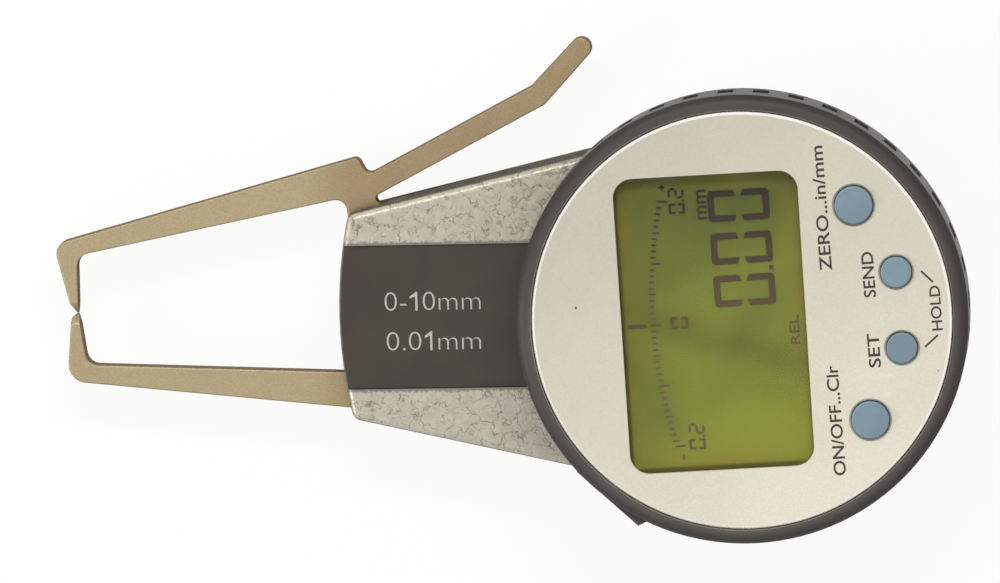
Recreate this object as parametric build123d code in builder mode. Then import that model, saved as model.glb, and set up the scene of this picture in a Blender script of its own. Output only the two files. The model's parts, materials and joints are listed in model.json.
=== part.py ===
from build123d import *
from math import acos, asin, atan2, cos, degrees, hypot, pi, radians, sin, sqrt, tan
import os

# Digital external caliper gauge for wall thicknesses from 0 to 10 mm.
# X runs along the handle with the jaws at -X, Z points out of the display, and the
# origin lies on the rear cover under the axis of the display. Millimetres.

os.makedirs("parts", exist_ok=True)

# Clearances
RUN_FIT = 0.05          # radial play of a shaft in its bush
PRESS_FIT = 0.01        # radial play left between two pieces that are fixed together
LOCATE = 0.1            # play of a piece laid in its recess
MOVE_GAP = 0.3          # air between a moving piece and a wall

# Tapered housing
HOUSING_T = 10.0
BASE_R = 25.4           # round end under the display
NOSE_REACH = 54.5       # from the display axis to the middle of the nose
NOSE_HALF = 13.44       # half width of the neck, level with the middle of the nose
NOSE_R = 62.0
NOSE_CORNER_R = 1.4
SIDE_WALL = 1.8
FRONT_WALL = 1.5
FRONT_EDGE_R = 1.0
REAR_EDGE_R = 0.6
COVER_T = 1.5
COVER_LEDGE = 0.8
NECK_SCREW_BACK = 7.45  # the cover's screws in the neck, from the encoder's axis to the nose
BASE_SCREW_BACK = 3.96  # the ones under the display, from the battery's middle to the nose
NOSE_SCREW_IN = 4.3     # the one in the nose
LABEL_W = 19.4
LABEL_T = 0.3
LABEL_SUNK = 0.35       # the label lies this far below the painted front
LABEL_END = 21.0        # right end of its recess, from the display axis

# Jaws
ARM_T = 2.5
ARM_Z = 3.75            # back of the jaw plates above the rear of the housing
JAW_REACH = 35.7        # from the nose to the measuring tips
TIP_Y = 0.68
TIP_GAP = 0.05          # the tips at zero, a hair of light apart
TIP_EDGE = 0.3          # length of the ground edge
TIP_FACET = 1.35        # height of the facets that form it
MOVING_FINGER = 7.84    # from the tip up to the inner corner of the moving jaw
MOVING_BACK = 9.4       # the same to the outer corner
MOVING_OUT = 2.96       # how far that corner lies beyond the tip
MOVING_TIP_IN = 0.2     # from the tip to its inner corner, towards the housing
MOVING_TIP_OUT = 0.96   # from the tip to the top of its facet, away from the housing
FIXED_FINGER = 7.0      # from the tip down to the inner corner of the fixed jaw
FIXED_BACK = 9.14
FIXED_OUT = 1.65
FIXED_TIP_IN = 1.11
FIXED_TIP_OUT = 0.85
JAW_INNER_R = 1.8
JAW_OUTER_R = 1.9
FIXED_OUTER_R = 2.5
NECK_TOP_R = 1.5
NOTCH_R = 0.9
NECK_RIGHT_R = 0.6
LEVER_W = 3.0
LEVER_SLOPE = 27.3
LEVER_LEN = 23.3
LEVER_TIP_W = 2.8
LEVER_TIP_SLOPE = 46.6
LEVER_TIP_LEN = 8.6
NOTCH_BACK = 2.0        # length of the lever's edges behind its start, above
NECK_BACK = 2.75        # and below
SWEEP = 14.1            # opening of the moving jaw, degrees

# Roots of the jaws: how far each point lies in from the nose, and outside the neck's side
NECK_TOP_AT = (0.95, 2.09)
NECK_LOW_AT = (1.35, -1.35)
WEB_LEFT_AT = (3.2, -3.58)
WEB_RIGHT_AT = (7.9, -3.07)
BEAM_END_AT = (2.79, 7.1)
LEVER_START_AT = (6.5, 3.39)
FOOT_IN = 3.2           # the foot of the fixed jaw starts here, in from the nose
FOOT_LEN = 10.3
FOOT_W = 6.2            # from the neck's side to the inner edge, at the foot's start
FIXED_SLOT_IN = 1.4     # where the back of the fixed jaw leaves the housing
FIXED_SLOT_WALL = 1.05  # casting left between the neck's side and that back
CLAMP_SCREWS_IN = (6.6, 11.4)
CLAMP_DOWELS_IN = (4.3, 9.0)
CLAMP_W = 4.85          # from the neck's side to the line of the screws and dowels

# Jaw pivot, measured from the nose
PIVOT_IN = 6.1
PIVOT_Y = 4.0
PIVOT_R = 1.5
HUB_R = 2.5
HUB_DISC_R = 3.9
HUB_FLANGE_R = 3.5
HUB_FLANGE_T = 0.75
BUSH_R = 2.8
BUSH_T = 1.0
BUSH_WALL = 1.3         # ring of casting round a bush
TAIL_LEN = 7.0          # from the pivot to the post that the return spring pulls
TAIL_ANGLE = -3.0
TAIL_R = 1.9
WEB_SPREAD = 0.9        # the web meets the hub's disc here, as a share of its radius
WEB_RISE = 0.4
RIVET_AT = 4.4
RIVET_R = 0.6
STOP_PIN_R = 1.0

# Gear pair
MODULE = 0.4
SECTOR_TEETH = 100      # on the full circle
PINION_TEETH = 16
PRESSURE = 20.0
ADDENDUM = 0.8          # in modules
DEDENDUM = 1.25
BACKLASH = 0.05         # taken off each tooth
SECTOR_T = 0.9
SPARE_TEETH = 1         # past each end of the travel
SECTOR_SPARE = 0.7      # rim past the middle of the last tooth, in tooth pitches
SECTOR_SPOKE = 0.8      # spoke at each end of the sector, in tooth pitches
SECTOR_RIM = 2.4

# Encoder
ARBOR_R = 1.0
JOURNAL_R = 0.6
PINION_BUSH_R = 1.4
PINION_BUSH_WALL = 1.2
DISC_R = 8.0
DISC_T = 0.5
BOARD_R = 10.8
BOARD_T = 0.8
BOARD_DROP = 0.5        # from the ceiling of the housing to the encoder board
DISC_GAP = 0.5          # from that board to the disc
ENCODER_SCREW_AT = 9.4
ENCODER_SCREW_ANGLES = (50, 170, 290)
POST_PLACES = [(-9.4, 9.5), (-12.4, -9.2), (0, -13.2)]  # the bridge's, from the encoder
BRIDGE_T = 1.0
BRIDGE_WALL = 0.9       # ring of the bridge round a bush
BRIDGE_GAP = 0.1        # over the rear cover
POST_R = 2.0
BOSS_SUNK = 0.4         # how far the bosses of the cover's screws merge into the wall
PIN_SEAT = 0.5          # depth of the blind seats in the front wall
SPIRAL_TURNS = 5
SPIRAL_STEP = 30        # between the points along the hairspring, degrees
SPIRAL_WIRE = 0.12
SPIRAL_H = 0.8
COLLET_R = 1.5
STUD_AT = 6.0
STUD_R = 0.6

# Return spring
SPRING_R = 0.8
SPRING_WIRE = 0.3
SPRING_TURNS = 9
SPRING_LEAD = 0.42
SPRING_ANCHOR_IN = 1.8  # from the side wall to the pin that holds its fixed end
SPRING_ASIDE = 0.9
HOOK_PIN_R = 0.5

# Battery, a 2032 cell
CELL_R = 10.0
CELL_T = 3.2
CAP_R = 10.9
CAP_WALL = 0.5          # casting between the battery's cap and the housing's side wall
HOLDER_PLAY = 0.15
HOLDER_WALL = 1.0
HOLDER_FLOOR = 0.8
HOLDER_EAR = 2.65       # from the holder's wall out to its screws
CONTACT_H = 0.6
CONTACT_T = 0.15
CONTACT_L = 14.0
CONTACT_W = 3.3
CONTACT_PAD_R = 1.4
SIDE_CONTACT = (125, 145)   # the contact at the cell's side lies between these angles
COIN_SLOT_W = 1.8
COIN_SLOT_DEPTH = 0.7
SEAL_WIRE_R = 0.32
LEAD_R = 0.25
LEAD_Y = 5.0
FLEX_T = 0.15
FLEX_W = 3.0
FLEX_BEND = 0.75
SOCKET_T = 1.0
SOCKET_SIDE = 1.0       # of the sockets past each side of the flex cable

# Display head
HEAD_R = 30.0
HEAD_GAP = 0.3          # the friction washer fills it
RIM_H = 7.9             # straight side of the case
CROWN_H = 1.0
CROWN_BULGE = 0.25
FACE_R = 27.9
FACE_T = 1.5
FACE_PROUD = 0.3
FACE_BEVEL = 0.4
CASE_WALL = 1.8
FACE_LEDGE = 0.9
BACK_T = 1.7
GRIP_COUNT = 40
GRIP_L = 2.1
GRIP_H = 3.3
GRIP_DEPTH = 0.6
GRIP_BELOW = 3.0        # from the crease down to the grip slots
GRIP_TURN = 1.0
DISPLAY_TURN = 92.3     # the display's top points to the jaws, degrees
HEAD_TRAVEL = 270.0
SPIGOT_R = 6.5
SPIGOT_BORE = 4.5
SPIGOT_LEN = 3.5        # below the case back
RING_R = 8.2
RING_T = 0.9
RING_GROOVE = 0.75
RING_ABOVE = 0.7        # spigot left below the ring
RING_MOUTH = 5.0
WASHER_R = 15.0
WASHER_BORE = 11.0
STOP_AT = 20.0          # radius of the stop pin under the display
STOP_R = 0.7
STOP_ANGLE = 60.0
STOP_PROUD = 0.6        # of the pin above the head's rear face
GROOVE_SPARE = 0.2

# Data port on the display case
PORT_ANGLE = 135.0      # from the display's right, degrees
PORT_DIST = 30.05
PORT_SHIFT = 2.55        # along the flat, away from the display's top
PORT_W = 10.9
PORT_H = 7.3
PORT_DRAFT = 0.6
PORT_SUNK = 0.2         # how far the port's boss and the lugs merge into the case
PORT_HOLE_W = 9.2
PORT_HOLE_H = 3.6
PORT_HOLE_Z = 4.3       # middle of the hole above the head's rear face
PORT_LIP = 0.4
PORT_COVER_T = 0.5
PORT_PLUG_T = 0.65
CONNECTOR_T = 2.1

# Display inside the case
WINDOW_W = 39.5
WINDOW_H = 24.5
WINDOW_UP = 3.7
WINDOW_R = 2.6
LENS_LIP = 0.6
LCD_T = 1.5
LCD_R = 1.9
HOLDER_RIM = 0.7
DISPLAY_BOARD_R = 26.4
DISPLAY_BOARD_T = 1.0
BOARD_POST_H = 1.6
BOARD_POST_R = 1.8
BOARD_POSTS_LOW = (20.5, -12.5)
BOARD_POSTS_HIGH = (10, 21.5)
CASE_LUG_AT = 25.3
CASE_LUG_R = 1.9
CASE_LUG_H = 5.0
STRIP_W = 1.6
STRIP_L = 36.0
STRIP_AT = 11.2         # from the middle of the display to each contact strip
CHIP_W = 9.0
CHIP_T = 1.1
DISPLAY_SOCKET_W = 2.0

# Keys
KEY_RING_R = 21.5
KEY_TURN = 0.9
BIG_KEY_ANGLE = 41.9    # either side of the middle of the key ring
SMALL_KEY_ANGLE = 13.6
BIG_KEY_R = 2.5
SMALL_KEY_R = 2.03
KEY_FLANGE = 0.65
KEY_FLANGE_T = 0.75
KEY_PROUD = 0.5
KEY_TRAVEL = 0.5
KEY_PLAY = 0.12
KEY_SEAT = 0.02
KEY_CHAMFER = 0.25
KEY_EDGE_R = 0.2
MAT_T = 0.5
MAT_IN = 2.6            # width of the key mat inside and outside the key ring
MAT_OUT = 1.5
MAT_SPARE = 5.0         # of the mat past the middle of the outer keys, degrees

# Screws
M2_R = 0.97
M2_HEAD_R = 1.9
M2_HEAD_T = 1.0
SMALL_R = 0.7
SMALL_HEAD_R = 1.1
SMALL_HEAD_T = 0.7
BITE = 2.0              # length of thread in the casting
THREAD_PLAY = 0.03
RECESS_SHARE = 1.1      # length of the cross over the head's radius
RECESS_W = 0.45
RECESS_DEPTH = 0.45

# Levels
Z_CEILING = HOUSING_T - FRONT_WALL
Z_HEAD = HOUSING_T + HEAD_GAP
Z_CREASE = Z_HEAD + RIM_H
Z_CROWN = Z_CREASE + CROWN_H
Z_FACE = Z_CROWN + FACE_PROUD
Z_FACE_BACK = Z_FACE - FACE_T
Z_BACK_TOP = Z_HEAD + BACK_T
Z_BOARD = Z_BACK_TOP + BOARD_POST_H
Z_BOARD_TOP = Z_BOARD + DISPLAY_BOARD_T
Z_LCD = Z_FACE_BACK - LOCATE - LCD_T
Z_ARM_TOP = ARM_Z + ARM_T
Z_MID_ARM = ARM_Z + ARM_T / 2
Z_SECTOR = ARM_Z - SECTOR_T
Z_BRIDGE = COVER_T + BRIDGE_GAP
Z_BRIDGE_TOP = Z_BRIDGE + BRIDGE_T
Z_BUSH_TOP = Z_CEILING - BUSH_T
Z_ENCODER_BOARD = Z_CEILING - BOARD_DROP - BOARD_T
Z_DISC = Z_ENCODER_BOARD - DISC_GAP - DISC_T
Z_SPIGOT = Z_HEAD - SPIGOT_LEN
Z_RING = Z_SPIGOT + RING_ABOVE
Z_FLEX = Z_SPIGOT - 2 * FLEX_T
Z_CELL = COVER_T + LOCATE
Z_HOLDER = Z_CELL + CELL_T + CONTACT_H
Z_HOLDER_TOP = Z_HOLDER + HOLDER_FLOOR
Z_SPRING = (Z_ARM_TOP + Z_CEILING) / 2
Z_FLANGE = Z_FACE_BACK - KEY_SEAT - KEY_FLANGE_T


def polar(centre, radius, angle):
    """The point at a radius and an angle in degrees round a centre."""
    return (centre[0] + radius * cos(radians(angle)), centre[1] + radius * sin(radians(angle)))


# Places seen from the front
TAPER = degrees(asin(BASE_R / hypot(NOSE_REACH, NOSE_HALF)) - atan2(NOSE_HALF, NOSE_REACH))
NOSE_X = -NOSE_REACH
TIP_X = NOSE_X - JAW_REACH
PIVOT = (NOSE_X + PIVOT_IN, PIVOT_Y)
TAIL = polar(PIVOT, TAIL_LEN, TAIL_ANGLE)
RIVET = polar(PIVOT, RIVET_AT, TAIL_ANGLE)
TAIL_SIDE = acos((HUB_DISC_R - TAIL_R) / TAIL_LEN)
STOP_SPREAD = TAIL_SIDE - acos((HUB_DISC_R + STOP_PIN_R + RUN_FIT) / TAIL_LEN)
STOP_PIN = polar(PIVOT, TAIL_LEN, TAIL_ANGLE - SWEEP - degrees(STOP_SPREAD))
SECTOR_PITCH_R = MODULE * SECTOR_TEETH / 2
PINION_PITCH_R = MODULE * PINION_TEETH / 2
CENTRES = SECTOR_PITCH_R + PINION_PITCH_R
MESH_ANGLE = -degrees(asin(PIVOT_Y / CENTRES))
ENCODER = polar(PIVOT, CENTRES, MESH_ANGLE)
SPIRAL_STUD = (ENCODER[0] + STUD_AT, ENCODER[1])
TOOTH_PITCH = 360 / SECTOR_TEETH
MESHED_TEETH = int(SWEEP / TOOTH_PITCH) + 1
POSTS = [(ENCODER[0] + x, ENCODER[1] + y) for x, y in POST_PLACES]
CELL_X = BASE_R - SIDE_WALL - CAP_WALL - CAP_R
CELL = (CELL_X, 0)
HOLDER_BORE = CELL_R + HOLDER_PLAY
EAR_Y = HOLDER_BORE + HOLDER_WALL + HOLDER_EAR
EARS = [(CELL_X, EAR_Y), (CELL_X, -EAR_Y)]
ENCODER_SCREWS = [polar(ENCODER, ENCODER_SCREW_AT, angle) for angle in ENCODER_SCREW_ANGLES]
CASE_LUGS = [(CASE_LUG_AT, 0), (0, CASE_LUG_AT), (-CASE_LUG_AT, 0), (0, -CASE_LUG_AT)]
BOARD_POSTS = [(side * x, y) for x, y in (BOARD_POSTS_LOW, BOARD_POSTS_HIGH) for side in (1, -1)]
KEY_MIDDLE = -90 + KEY_TURN
KEYS = [
    ("key_zero", KEY_MIDDLE + BIG_KEY_ANGLE, BIG_KEY_R),
    ("key_data", KEY_MIDDLE + SMALL_KEY_ANGLE, SMALL_KEY_R),
    ("key_limits", KEY_MIDDLE - SMALL_KEY_ANGLE, SMALL_KEY_R),
    ("key_power", KEY_MIDDLE - BIG_KEY_ANGLE, BIG_KEY_R),
]


def neck_y(x, inset):
    """Half width of the neck at x, to a line set in from its side."""
    return (BASE_R - inset + x * sin(radians(TAPER))) / cos(radians(TAPER))


def by_side(place):
    """A point by its distances in from the nose and outside the neck's upper side."""
    x = NOSE_X + place[0]
    return (x, neck_y(x, 0) + place[1])


def below_side(place):
    """The same by the neck's lower side, with the second distance inside it."""
    x = NOSE_X + place[0]
    return (x, place[1] - neck_y(x, 0))


SPRING_ANCHOR_X = TAIL[0] + SPRING_ASIDE
SPRING_ANCHOR = (SPRING_ANCHOR_X, neck_y(SPRING_ANCHOR_X, SIDE_WALL) - SPRING_ANCHOR_IN)
BOSS_INSET = SIDE_WALL + POST_R - BOSS_SUNK
NECK_SCREW_X = ENCODER[0] - NECK_SCREW_BACK
NECK_SCREW_Y = neck_y(NECK_SCREW_X, BOSS_INSET)
BASE_SCREW_X = CELL_X - BASE_SCREW_BACK
BASE_SCREW_Y = sqrt((BASE_R - BOSS_INSET) ** 2 - BASE_SCREW_X**2)
COVER_SCREWS = [
    below_side((NOSE_SCREW_IN, FOOT_W + POST_R + MOVE_GAP + SIDE_WALL - BOSS_SUNK)),
    (NECK_SCREW_X, NECK_SCREW_Y), (NECK_SCREW_X, -NECK_SCREW_Y),
    (BASE_SCREW_X, BASE_SCREW_Y), (BASE_SCREW_X, -BASE_SCREW_Y),
]
CLAMP_SCREWS = [below_side((x, CLAMP_W)) for x in CLAMP_SCREWS_IN]
CLAMP_DOWELS = [below_side((x, CLAMP_W)) for x in CLAMP_DOWELS_IN]


def swept(point):
    """Where a point of the moving jaw stands when the jaw is wide open."""
    dx, dy = point[0] - PIVOT[0], point[1] - PIVOT[1]
    return polar(PIVOT, hypot(dx, dy), degrees(atan2(dy, dx)) - SWEEP)


def head_plane(z):
    """Level plane that is turned with the display: x to its right, y to its top."""
    turned = (cos(radians(DISPLAY_TURN)), sin(radians(DISPLAY_TURN)), 0)
    return Plane(origin=(0, 0, z), x_dir=turned, z_dir=(0, 0, 1))


def head_point(point, z):
    """World place of a point of the display's own plane."""
    return tuple(head_plane(z).from_local_coords(Vector(point[0], point[1], 0)))


def port_plane():
    """Plane of the data port's flat, looking out of the case."""
    angle = radians(DISPLAY_TURN + PORT_ANGLE)
    across = (-sin(angle), cos(angle))
    foot = (
        PORT_DIST * cos(angle) + PORT_SHIFT * across[0],
        PORT_DIST * sin(angle) + PORT_SHIFT * across[1], Z_HEAD + PORT_HOLE_Z,
    )
    return Plane(origin=foot, x_dir=(*across, 0), z_dir=(cos(angle), sin(angle), 0))


def neck_corner(inset):
    """Where the neck's side meets the nose, both set in by the same amount."""
    t = radians(TAPER)
    start = (-(BASE_R - inset) * sin(t), (BASE_R - inset) * cos(t))
    across = (start[0] - (NOSE_X + NOSE_R), start[1])
    along = across[0] * cos(t) + across[1] * sin(t)
    rest = across[0] ** 2 + across[1] ** 2 - (NOSE_R - inset) ** 2
    reach = along + sqrt(along**2 - rest)
    return (start[0] - reach * cos(t), start[1] - reach * sin(t))


def housing_outline(inset):
    """Face of the housing seen from the front, set in from its outside."""
    t = radians(TAPER)
    top = (-(BASE_R - inset) * sin(t), (BASE_R - inset) * cos(t))
    corner = neck_corner(inset)
    with BuildLine() as outline:
        Line(top, corner)
        ThreePointArc(corner, (NOSE_X + inset, 0), (corner[0], -corner[1]))
        Line((corner[0], -corner[1]), (top[0], -top[1]))
        ThreePointArc((top[0], -top[1]), (BASE_R - inset, 0), top)
    make_face(outline.edges())


def round_at(sketch, points, radius):
    """Rounds the corners of a sketch that lie nearest to some points."""
    for point in points:
        fillet(sketch.vertices().sort_by_distance((point[0], point[1], 0))[0], radius)


def tapered_bar(start, start_r, end, end_r):
    """Two circles and the straight sides that touch both."""
    length = hypot(end[0] - start[0], end[1] - start[1])
    slope = degrees(atan2(end[1] - start[1], end[0] - start[0]))
    side = degrees(acos((start_r - end_r) / length))
    with BuildLine() as outline:
        Polyline(
            polar(start, start_r, slope + side), polar(start, start_r, slope - side),
            polar(end, end_r, slope - side), polar(end, end_r, slope + side), close=True,
        )
    make_face(outline.edges())
    with Locations(start):
        Circle(start_r)
    with Locations(end):
        Circle(end_r)


def circles(places, radius, mode=Mode.ADD):
    """The same circle at each of some places."""
    with Locations(*places):
        Circle(radius, mode=mode)


def involute(angle):
    return tan(angle) - angle


def tooth_flank(pitch_r, teeth):
    """Radius and half angle up one flank of a tooth, from the root to the tip."""
    base_r = pitch_r * cos(radians(PRESSURE))
    root_r = pitch_r - DEDENDUM * MODULE
    tip_r = pitch_r + ADDENDUM * MODULE
    half = pi / (2 * teeth) - BACKLASH / (2 * pitch_r) + involute(radians(PRESSURE))
    low_r = max(base_r, root_r)
    radii = [low_r + (tip_r - low_r) * step / 4 for step in range(5)]
    flank = [(r, half - involute(acos(min(1, base_r / r)))) for r in radii]
    return [(root_r - MODULE / 4, flank[0][1])] + flank


def gear_tooth(centre, pitch_r, teeth, angle):
    """Face of one involute tooth that points along an angle in degrees."""
    flank = tooth_flank(pitch_r, teeth)
    right = [polar(centre, r, angle - degrees(half)) for r, half in flank]
    left = [polar(centre, r, angle + degrees(half)) for r, half in reversed(flank)]
    with BuildLine() as outline:
        Polyline(*right, *left, close=True)
    make_face(outline.edges())


def fan(centre, radius, low, high):
    """Slice of a disc between two angles in degrees."""
    with BuildLine() as outline:
        Line(centre, polar(centre, radius, low))
        ThreePointArc(
            polar(centre, radius, low), polar(centre, radius, (low + high) / 2),
            polar(centre, radius, high),
        )
        Line(polar(centre, radius, high), centre)
    make_face(outline.edges())


def screw(shank_r, length, head_r, head_t, sunk=False):
    """A screw with a cross recess: its head's face at z = 0 and its shank up +Z."""
    shoulder = [(shank_r, head_t)] if sunk else [(head_r, head_t), (shank_r, head_t)]
    with BuildPart() as blank:
        with BuildSketch(Plane.XZ):
            with BuildLine():
                Polyline(
                    (0, 0), (head_r, 0), *shoulder, (shank_r, head_t + length),
                    (0, head_t + length), close=True,
                )
            make_face()
        revolve(axis=Axis.Z)
        with BuildSketch():
            Rectangle(RECESS_W, head_r * RECESS_SHARE)
            Rectangle(head_r * RECESS_SHARE, RECESS_W)
        extrude(amount=RECESS_DEPTH, mode=Mode.SUBTRACT)
    return blank.part


# Corners of the moving jaw, round its outline
jaw_inner = (TIP_X + MOVING_TIP_IN, TIP_Y + MOVING_FINGER)
jaw_outer = (TIP_X - MOVING_OUT, TIP_Y + MOVING_BACK)
neck_top = by_side(NECK_TOP_AT)
neck_low = by_side(NECK_LOW_AT)
web_left = by_side(WEB_LEFT_AT)
web_right = by_side(WEB_RIGHT_AT)
beam_end = by_side(BEAM_END_AT)
lever_start = by_side(LEVER_START_AT)
lever_bend = polar(lever_start, LEVER_LEN, LEVER_SLOPE)
lever_end = polar(lever_bend, LEVER_TIP_LEN, LEVER_TIP_SLOPE)
lever_above = polar(lever_start, LEVER_W / 2, LEVER_SLOPE + 90)
lever_below = polar(lever_start, LEVER_W / 2, LEVER_SLOPE - 90)
notch = polar(lever_above, NOTCH_BACK, LEVER_SLOPE + 180)
neck_right = polar(lever_below, NECK_BACK, LEVER_SLOPE + 180)

# Corners of the fixed jaw
fixed_inner = (TIP_X + FIXED_TIP_IN, TIP_Y - FIXED_FINGER)
fixed_outer = (TIP_X - FIXED_OUT, TIP_Y - FIXED_BACK)
fixed_root = below_side((FOOT_IN, FOOT_W))
slot_root = below_side((FIXED_SLOT_IN, FIXED_SLOT_WALL))
foot_start_x = fixed_root[0]
foot_end_x = foot_start_x + FOOT_LEN


def fixed_edge(x):
    """Inner edge of the fixed jaw at x."""
    slope = (fixed_root[1] - fixed_inner[1]) / (fixed_root[0] - fixed_inner[0])
    return fixed_inner[1] + (x - fixed_inner[0]) * slope


def foot_outline():
    """Foot of the fixed jaw inside the housing."""
    low_inset = SIDE_WALL + MOVE_GAP
    with BuildLine() as outline:
        Polyline(
            (foot_start_x, fixed_edge(foot_start_x)), (foot_start_x, -neck_y(foot_start_x, low_inset)),
            (foot_end_x, -neck_y(foot_end_x, low_inset)), (foot_end_x, fixed_edge(foot_end_x)),
            close=True,
        )
    make_face(outline.edges())


# The slot in the neck's side ends just past the web of the wide open jaw
open_neck = swept(neck_right)
open_web = swept(web_right)
web_run = (open_web[0] - open_neck[0]) / (open_neck[1] - open_web[1])
slot_reach = open_neck[0] + web_run * (open_neck[1] - neck_y(open_neck[0], SIDE_WALL))
SLOT_END_X = slot_reach + MOVE_GAP

with BuildPart() as housing:
    with BuildSketch() as outside:
        housing_outline(0)
        round_at(outside, [neck_corner(0), (neck_corner(0)[0], -neck_corner(0)[1])], NOSE_CORNER_R)
    extrude(amount=HOUSING_T)
    fillet(housing.edges().group_by(Axis.Z)[-1], FRONT_EDGE_R)
    fillet(housing.edges().group_by(Axis.Z)[0], REAR_EDGE_R)
    with BuildSketch():
        housing_outline(SIDE_WALL - COVER_LEDGE)
    extrude(amount=COVER_T, mode=Mode.SUBTRACT)
    with BuildSketch(Plane.XY.offset(COVER_T)):
        housing_outline(SIDE_WALL)
    extrude(amount=Z_CEILING - COVER_T, mode=Mode.SUBTRACT)
    with BuildSketch(Plane.XY.offset(HOUSING_T)):
        with Locations((-(NOSE_REACH + LABEL_END) / 2, 0)):
            Rectangle(NOSE_REACH - LABEL_END, LABEL_W)
    extrude(amount=-(LABEL_T + LABEL_SUNK), mode=Mode.SUBTRACT)
    # Bosses under the ceiling for the cover, the bridge, the holder and the encoder board
    with BuildSketch(Plane.XY.offset(Z_CEILING)):
        circles(COVER_SCREWS, POST_R)
    extrude(amount=-(Z_CEILING - COVER_T))
    with BuildSketch(Plane.XY.offset(Z_CEILING)):
        circles(POSTS, POST_R)
    extrude(amount=-(Z_CEILING - Z_BRIDGE_TOP))
    with BuildSketch(Plane.XY.offset(Z_CEILING)):
        circles(EARS, POST_R)
    extrude(amount=-(Z_CEILING - Z_HOLDER_TOP))
    with BuildSketch(Plane.XY.offset(Z_CEILING)):
        circles(ENCODER_SCREWS, SMALL_HEAD_R)
    extrude(amount=-BOARD_DROP)
    with BuildSketch(Plane.XY.offset(Z_CEILING)):
        foot_outline()
    extrude(amount=-(Z_CEILING - Z_ARM_TOP))
    with BuildSketch(Plane.XY.offset(Z_CEILING)):
        circles([PIVOT], BUSH_R + BUSH_WALL)
        circles([ENCODER], PINION_BUSH_R + PINION_BUSH_WALL)
    extrude(amount=-BUSH_T)
    # Seats of the bushes and holes for the threads
    with BuildSketch(Plane.XY.offset(Z_CEILING)):
        circles([PIVOT], BUSH_R + PRESS_FIT)
        circles([ENCODER], PINION_BUSH_R + PRESS_FIT)
    extrude(amount=-BUSH_T, mode=Mode.SUBTRACT)
    with BuildSketch(Plane.XY.offset(COVER_T)):
        circles(COVER_SCREWS, M2_R + THREAD_PLAY)
    extrude(amount=BITE + THREAD_PLAY, mode=Mode.SUBTRACT)
    with BuildSketch(Plane.XY.offset(Z_BRIDGE_TOP)):
        circles(POSTS, SMALL_R + THREAD_PLAY)
    extrude(amount=BITE + THREAD_PLAY, mode=Mode.SUBTRACT)
    with BuildSketch(Plane.XY.offset(Z_HOLDER_TOP)):
        circles(EARS, SMALL_R + THREAD_PLAY)
    extrude(amount=BITE + THREAD_PLAY, mode=Mode.SUBTRACT)
    with BuildSketch(Plane.XY.offset(Z_CEILING - BOARD_DROP)):
        circles(ENCODER_SCREWS, SMALL_R + THREAD_PLAY)
    extrude(amount=BOARD_DROP + PIN_SEAT + THREAD_PLAY, mode=Mode.SUBTRACT)
    with BuildSketch(Plane.XY.offset(Z_ARM_TOP)):
        circles(CLAMP_SCREWS, M2_R + THREAD_PLAY)
        circles(CLAMP_DOWELS, STUD_R + PRESS_FIT)
    extrude(amount=BITE + THREAD_PLAY, mode=Mode.SUBTRACT)
    with BuildSketch(Plane.XY.offset(Z_CEILING)):
        circles([STOP_PIN], STOP_PIN_R + PRESS_FIT)
        circles([SPRING_ANCHOR], HOOK_PIN_R + PRESS_FIT)
    extrude(amount=PIN_SEAT, mode=Mode.SUBTRACT)
    # Through holes for the display's spigot and its stop pin
    with BuildSketch(Plane.XY.offset(Z_CEILING)):
        Circle(SPIGOT_R + RUN_FIT)
        circles([polar((0, 0), STOP_AT, STOP_ANGLE)], STOP_R + PRESS_FIT)
    extrude(amount=FRONT_WALL, mode=Mode.SUBTRACT)
    # Slots for the two jaws
    slot_low, slot_floor = neck_low[1] - 2 * MOVE_GAP, web_left[1] - 2 * MOVE_GAP
    slot_mouth, foot_slot_end = NOSE_X - MOVE_GAP, foot_start_x + SIDE_WALL
    with BuildSketch(Plane.XY.offset(ARM_Z - MOVE_GAP)):
        with BuildLine():
            Polyline(
                (slot_mouth, slot_low), (neck_low[0] - MOVE_GAP, slot_low),
                (web_left[0] + MOVE_GAP, slot_floor), (SLOT_END_X, slot_floor),
                (SLOT_END_X, BASE_R), (slot_mouth, BASE_R), close=True,
            )
        make_face()
    extrude(amount=ARM_T + 2 * MOVE_GAP, mode=Mode.SUBTRACT)
    with BuildSketch(Plane.XY.offset(ARM_Z - LOCATE)):
        with BuildLine():
            Polyline(
                (slot_mouth, fixed_edge(NOSE_X) + LOCATE),
                (foot_slot_end, fixed_edge(NOSE_X) + LOCATE),
                (foot_slot_end, -neck_y(foot_slot_end, SIDE_WALL)),
                (foot_start_x, -neck_y(foot_start_x, SIDE_WALL)),
                (slot_root[0], slot_root[1] - LOCATE), (slot_mouth, slot_root[1] - LOCATE),
                close=True,
            )
        make_face()
    extrude(amount=ARM_T + LOCATE, mode=Mode.SUBTRACT)
housing.part.label = "housing"
export_step(housing.part, "parts/housing.step")

with BuildPart() as rear_cover:
    with BuildSketch():
        housing_outline(SIDE_WALL - COVER_LEDGE + LOCATE)
        circles([CELL], CAP_R + LOCATE, Mode.SUBTRACT)
        circles(COVER_SCREWS, M2_R + LOCATE, Mode.SUBTRACT)
    extrude(amount=COVER_T)
    with Locations(*[(x, y, M2_HEAD_T / 2) for x, y in COVER_SCREWS]):
        Cone(M2_HEAD_R + LOCATE, M2_R + LOCATE, M2_HEAD_T, mode=Mode.SUBTRACT)
rear_cover.part.label = "rear_cover"
export_step(rear_cover.part, "parts/rear_cover.step")

cover_screw = screw(M2_R, COVER_T - M2_HEAD_T + BITE, M2_HEAD_R, M2_HEAD_T, sunk=True)
with BuildPart() as cover_screws:
    with Locations(*COVER_SCREWS):
        add(cover_screw)
cover_screws.part.label = "cover_screws"
export_step(cover_screws.part, "parts/cover_screws.step")

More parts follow.
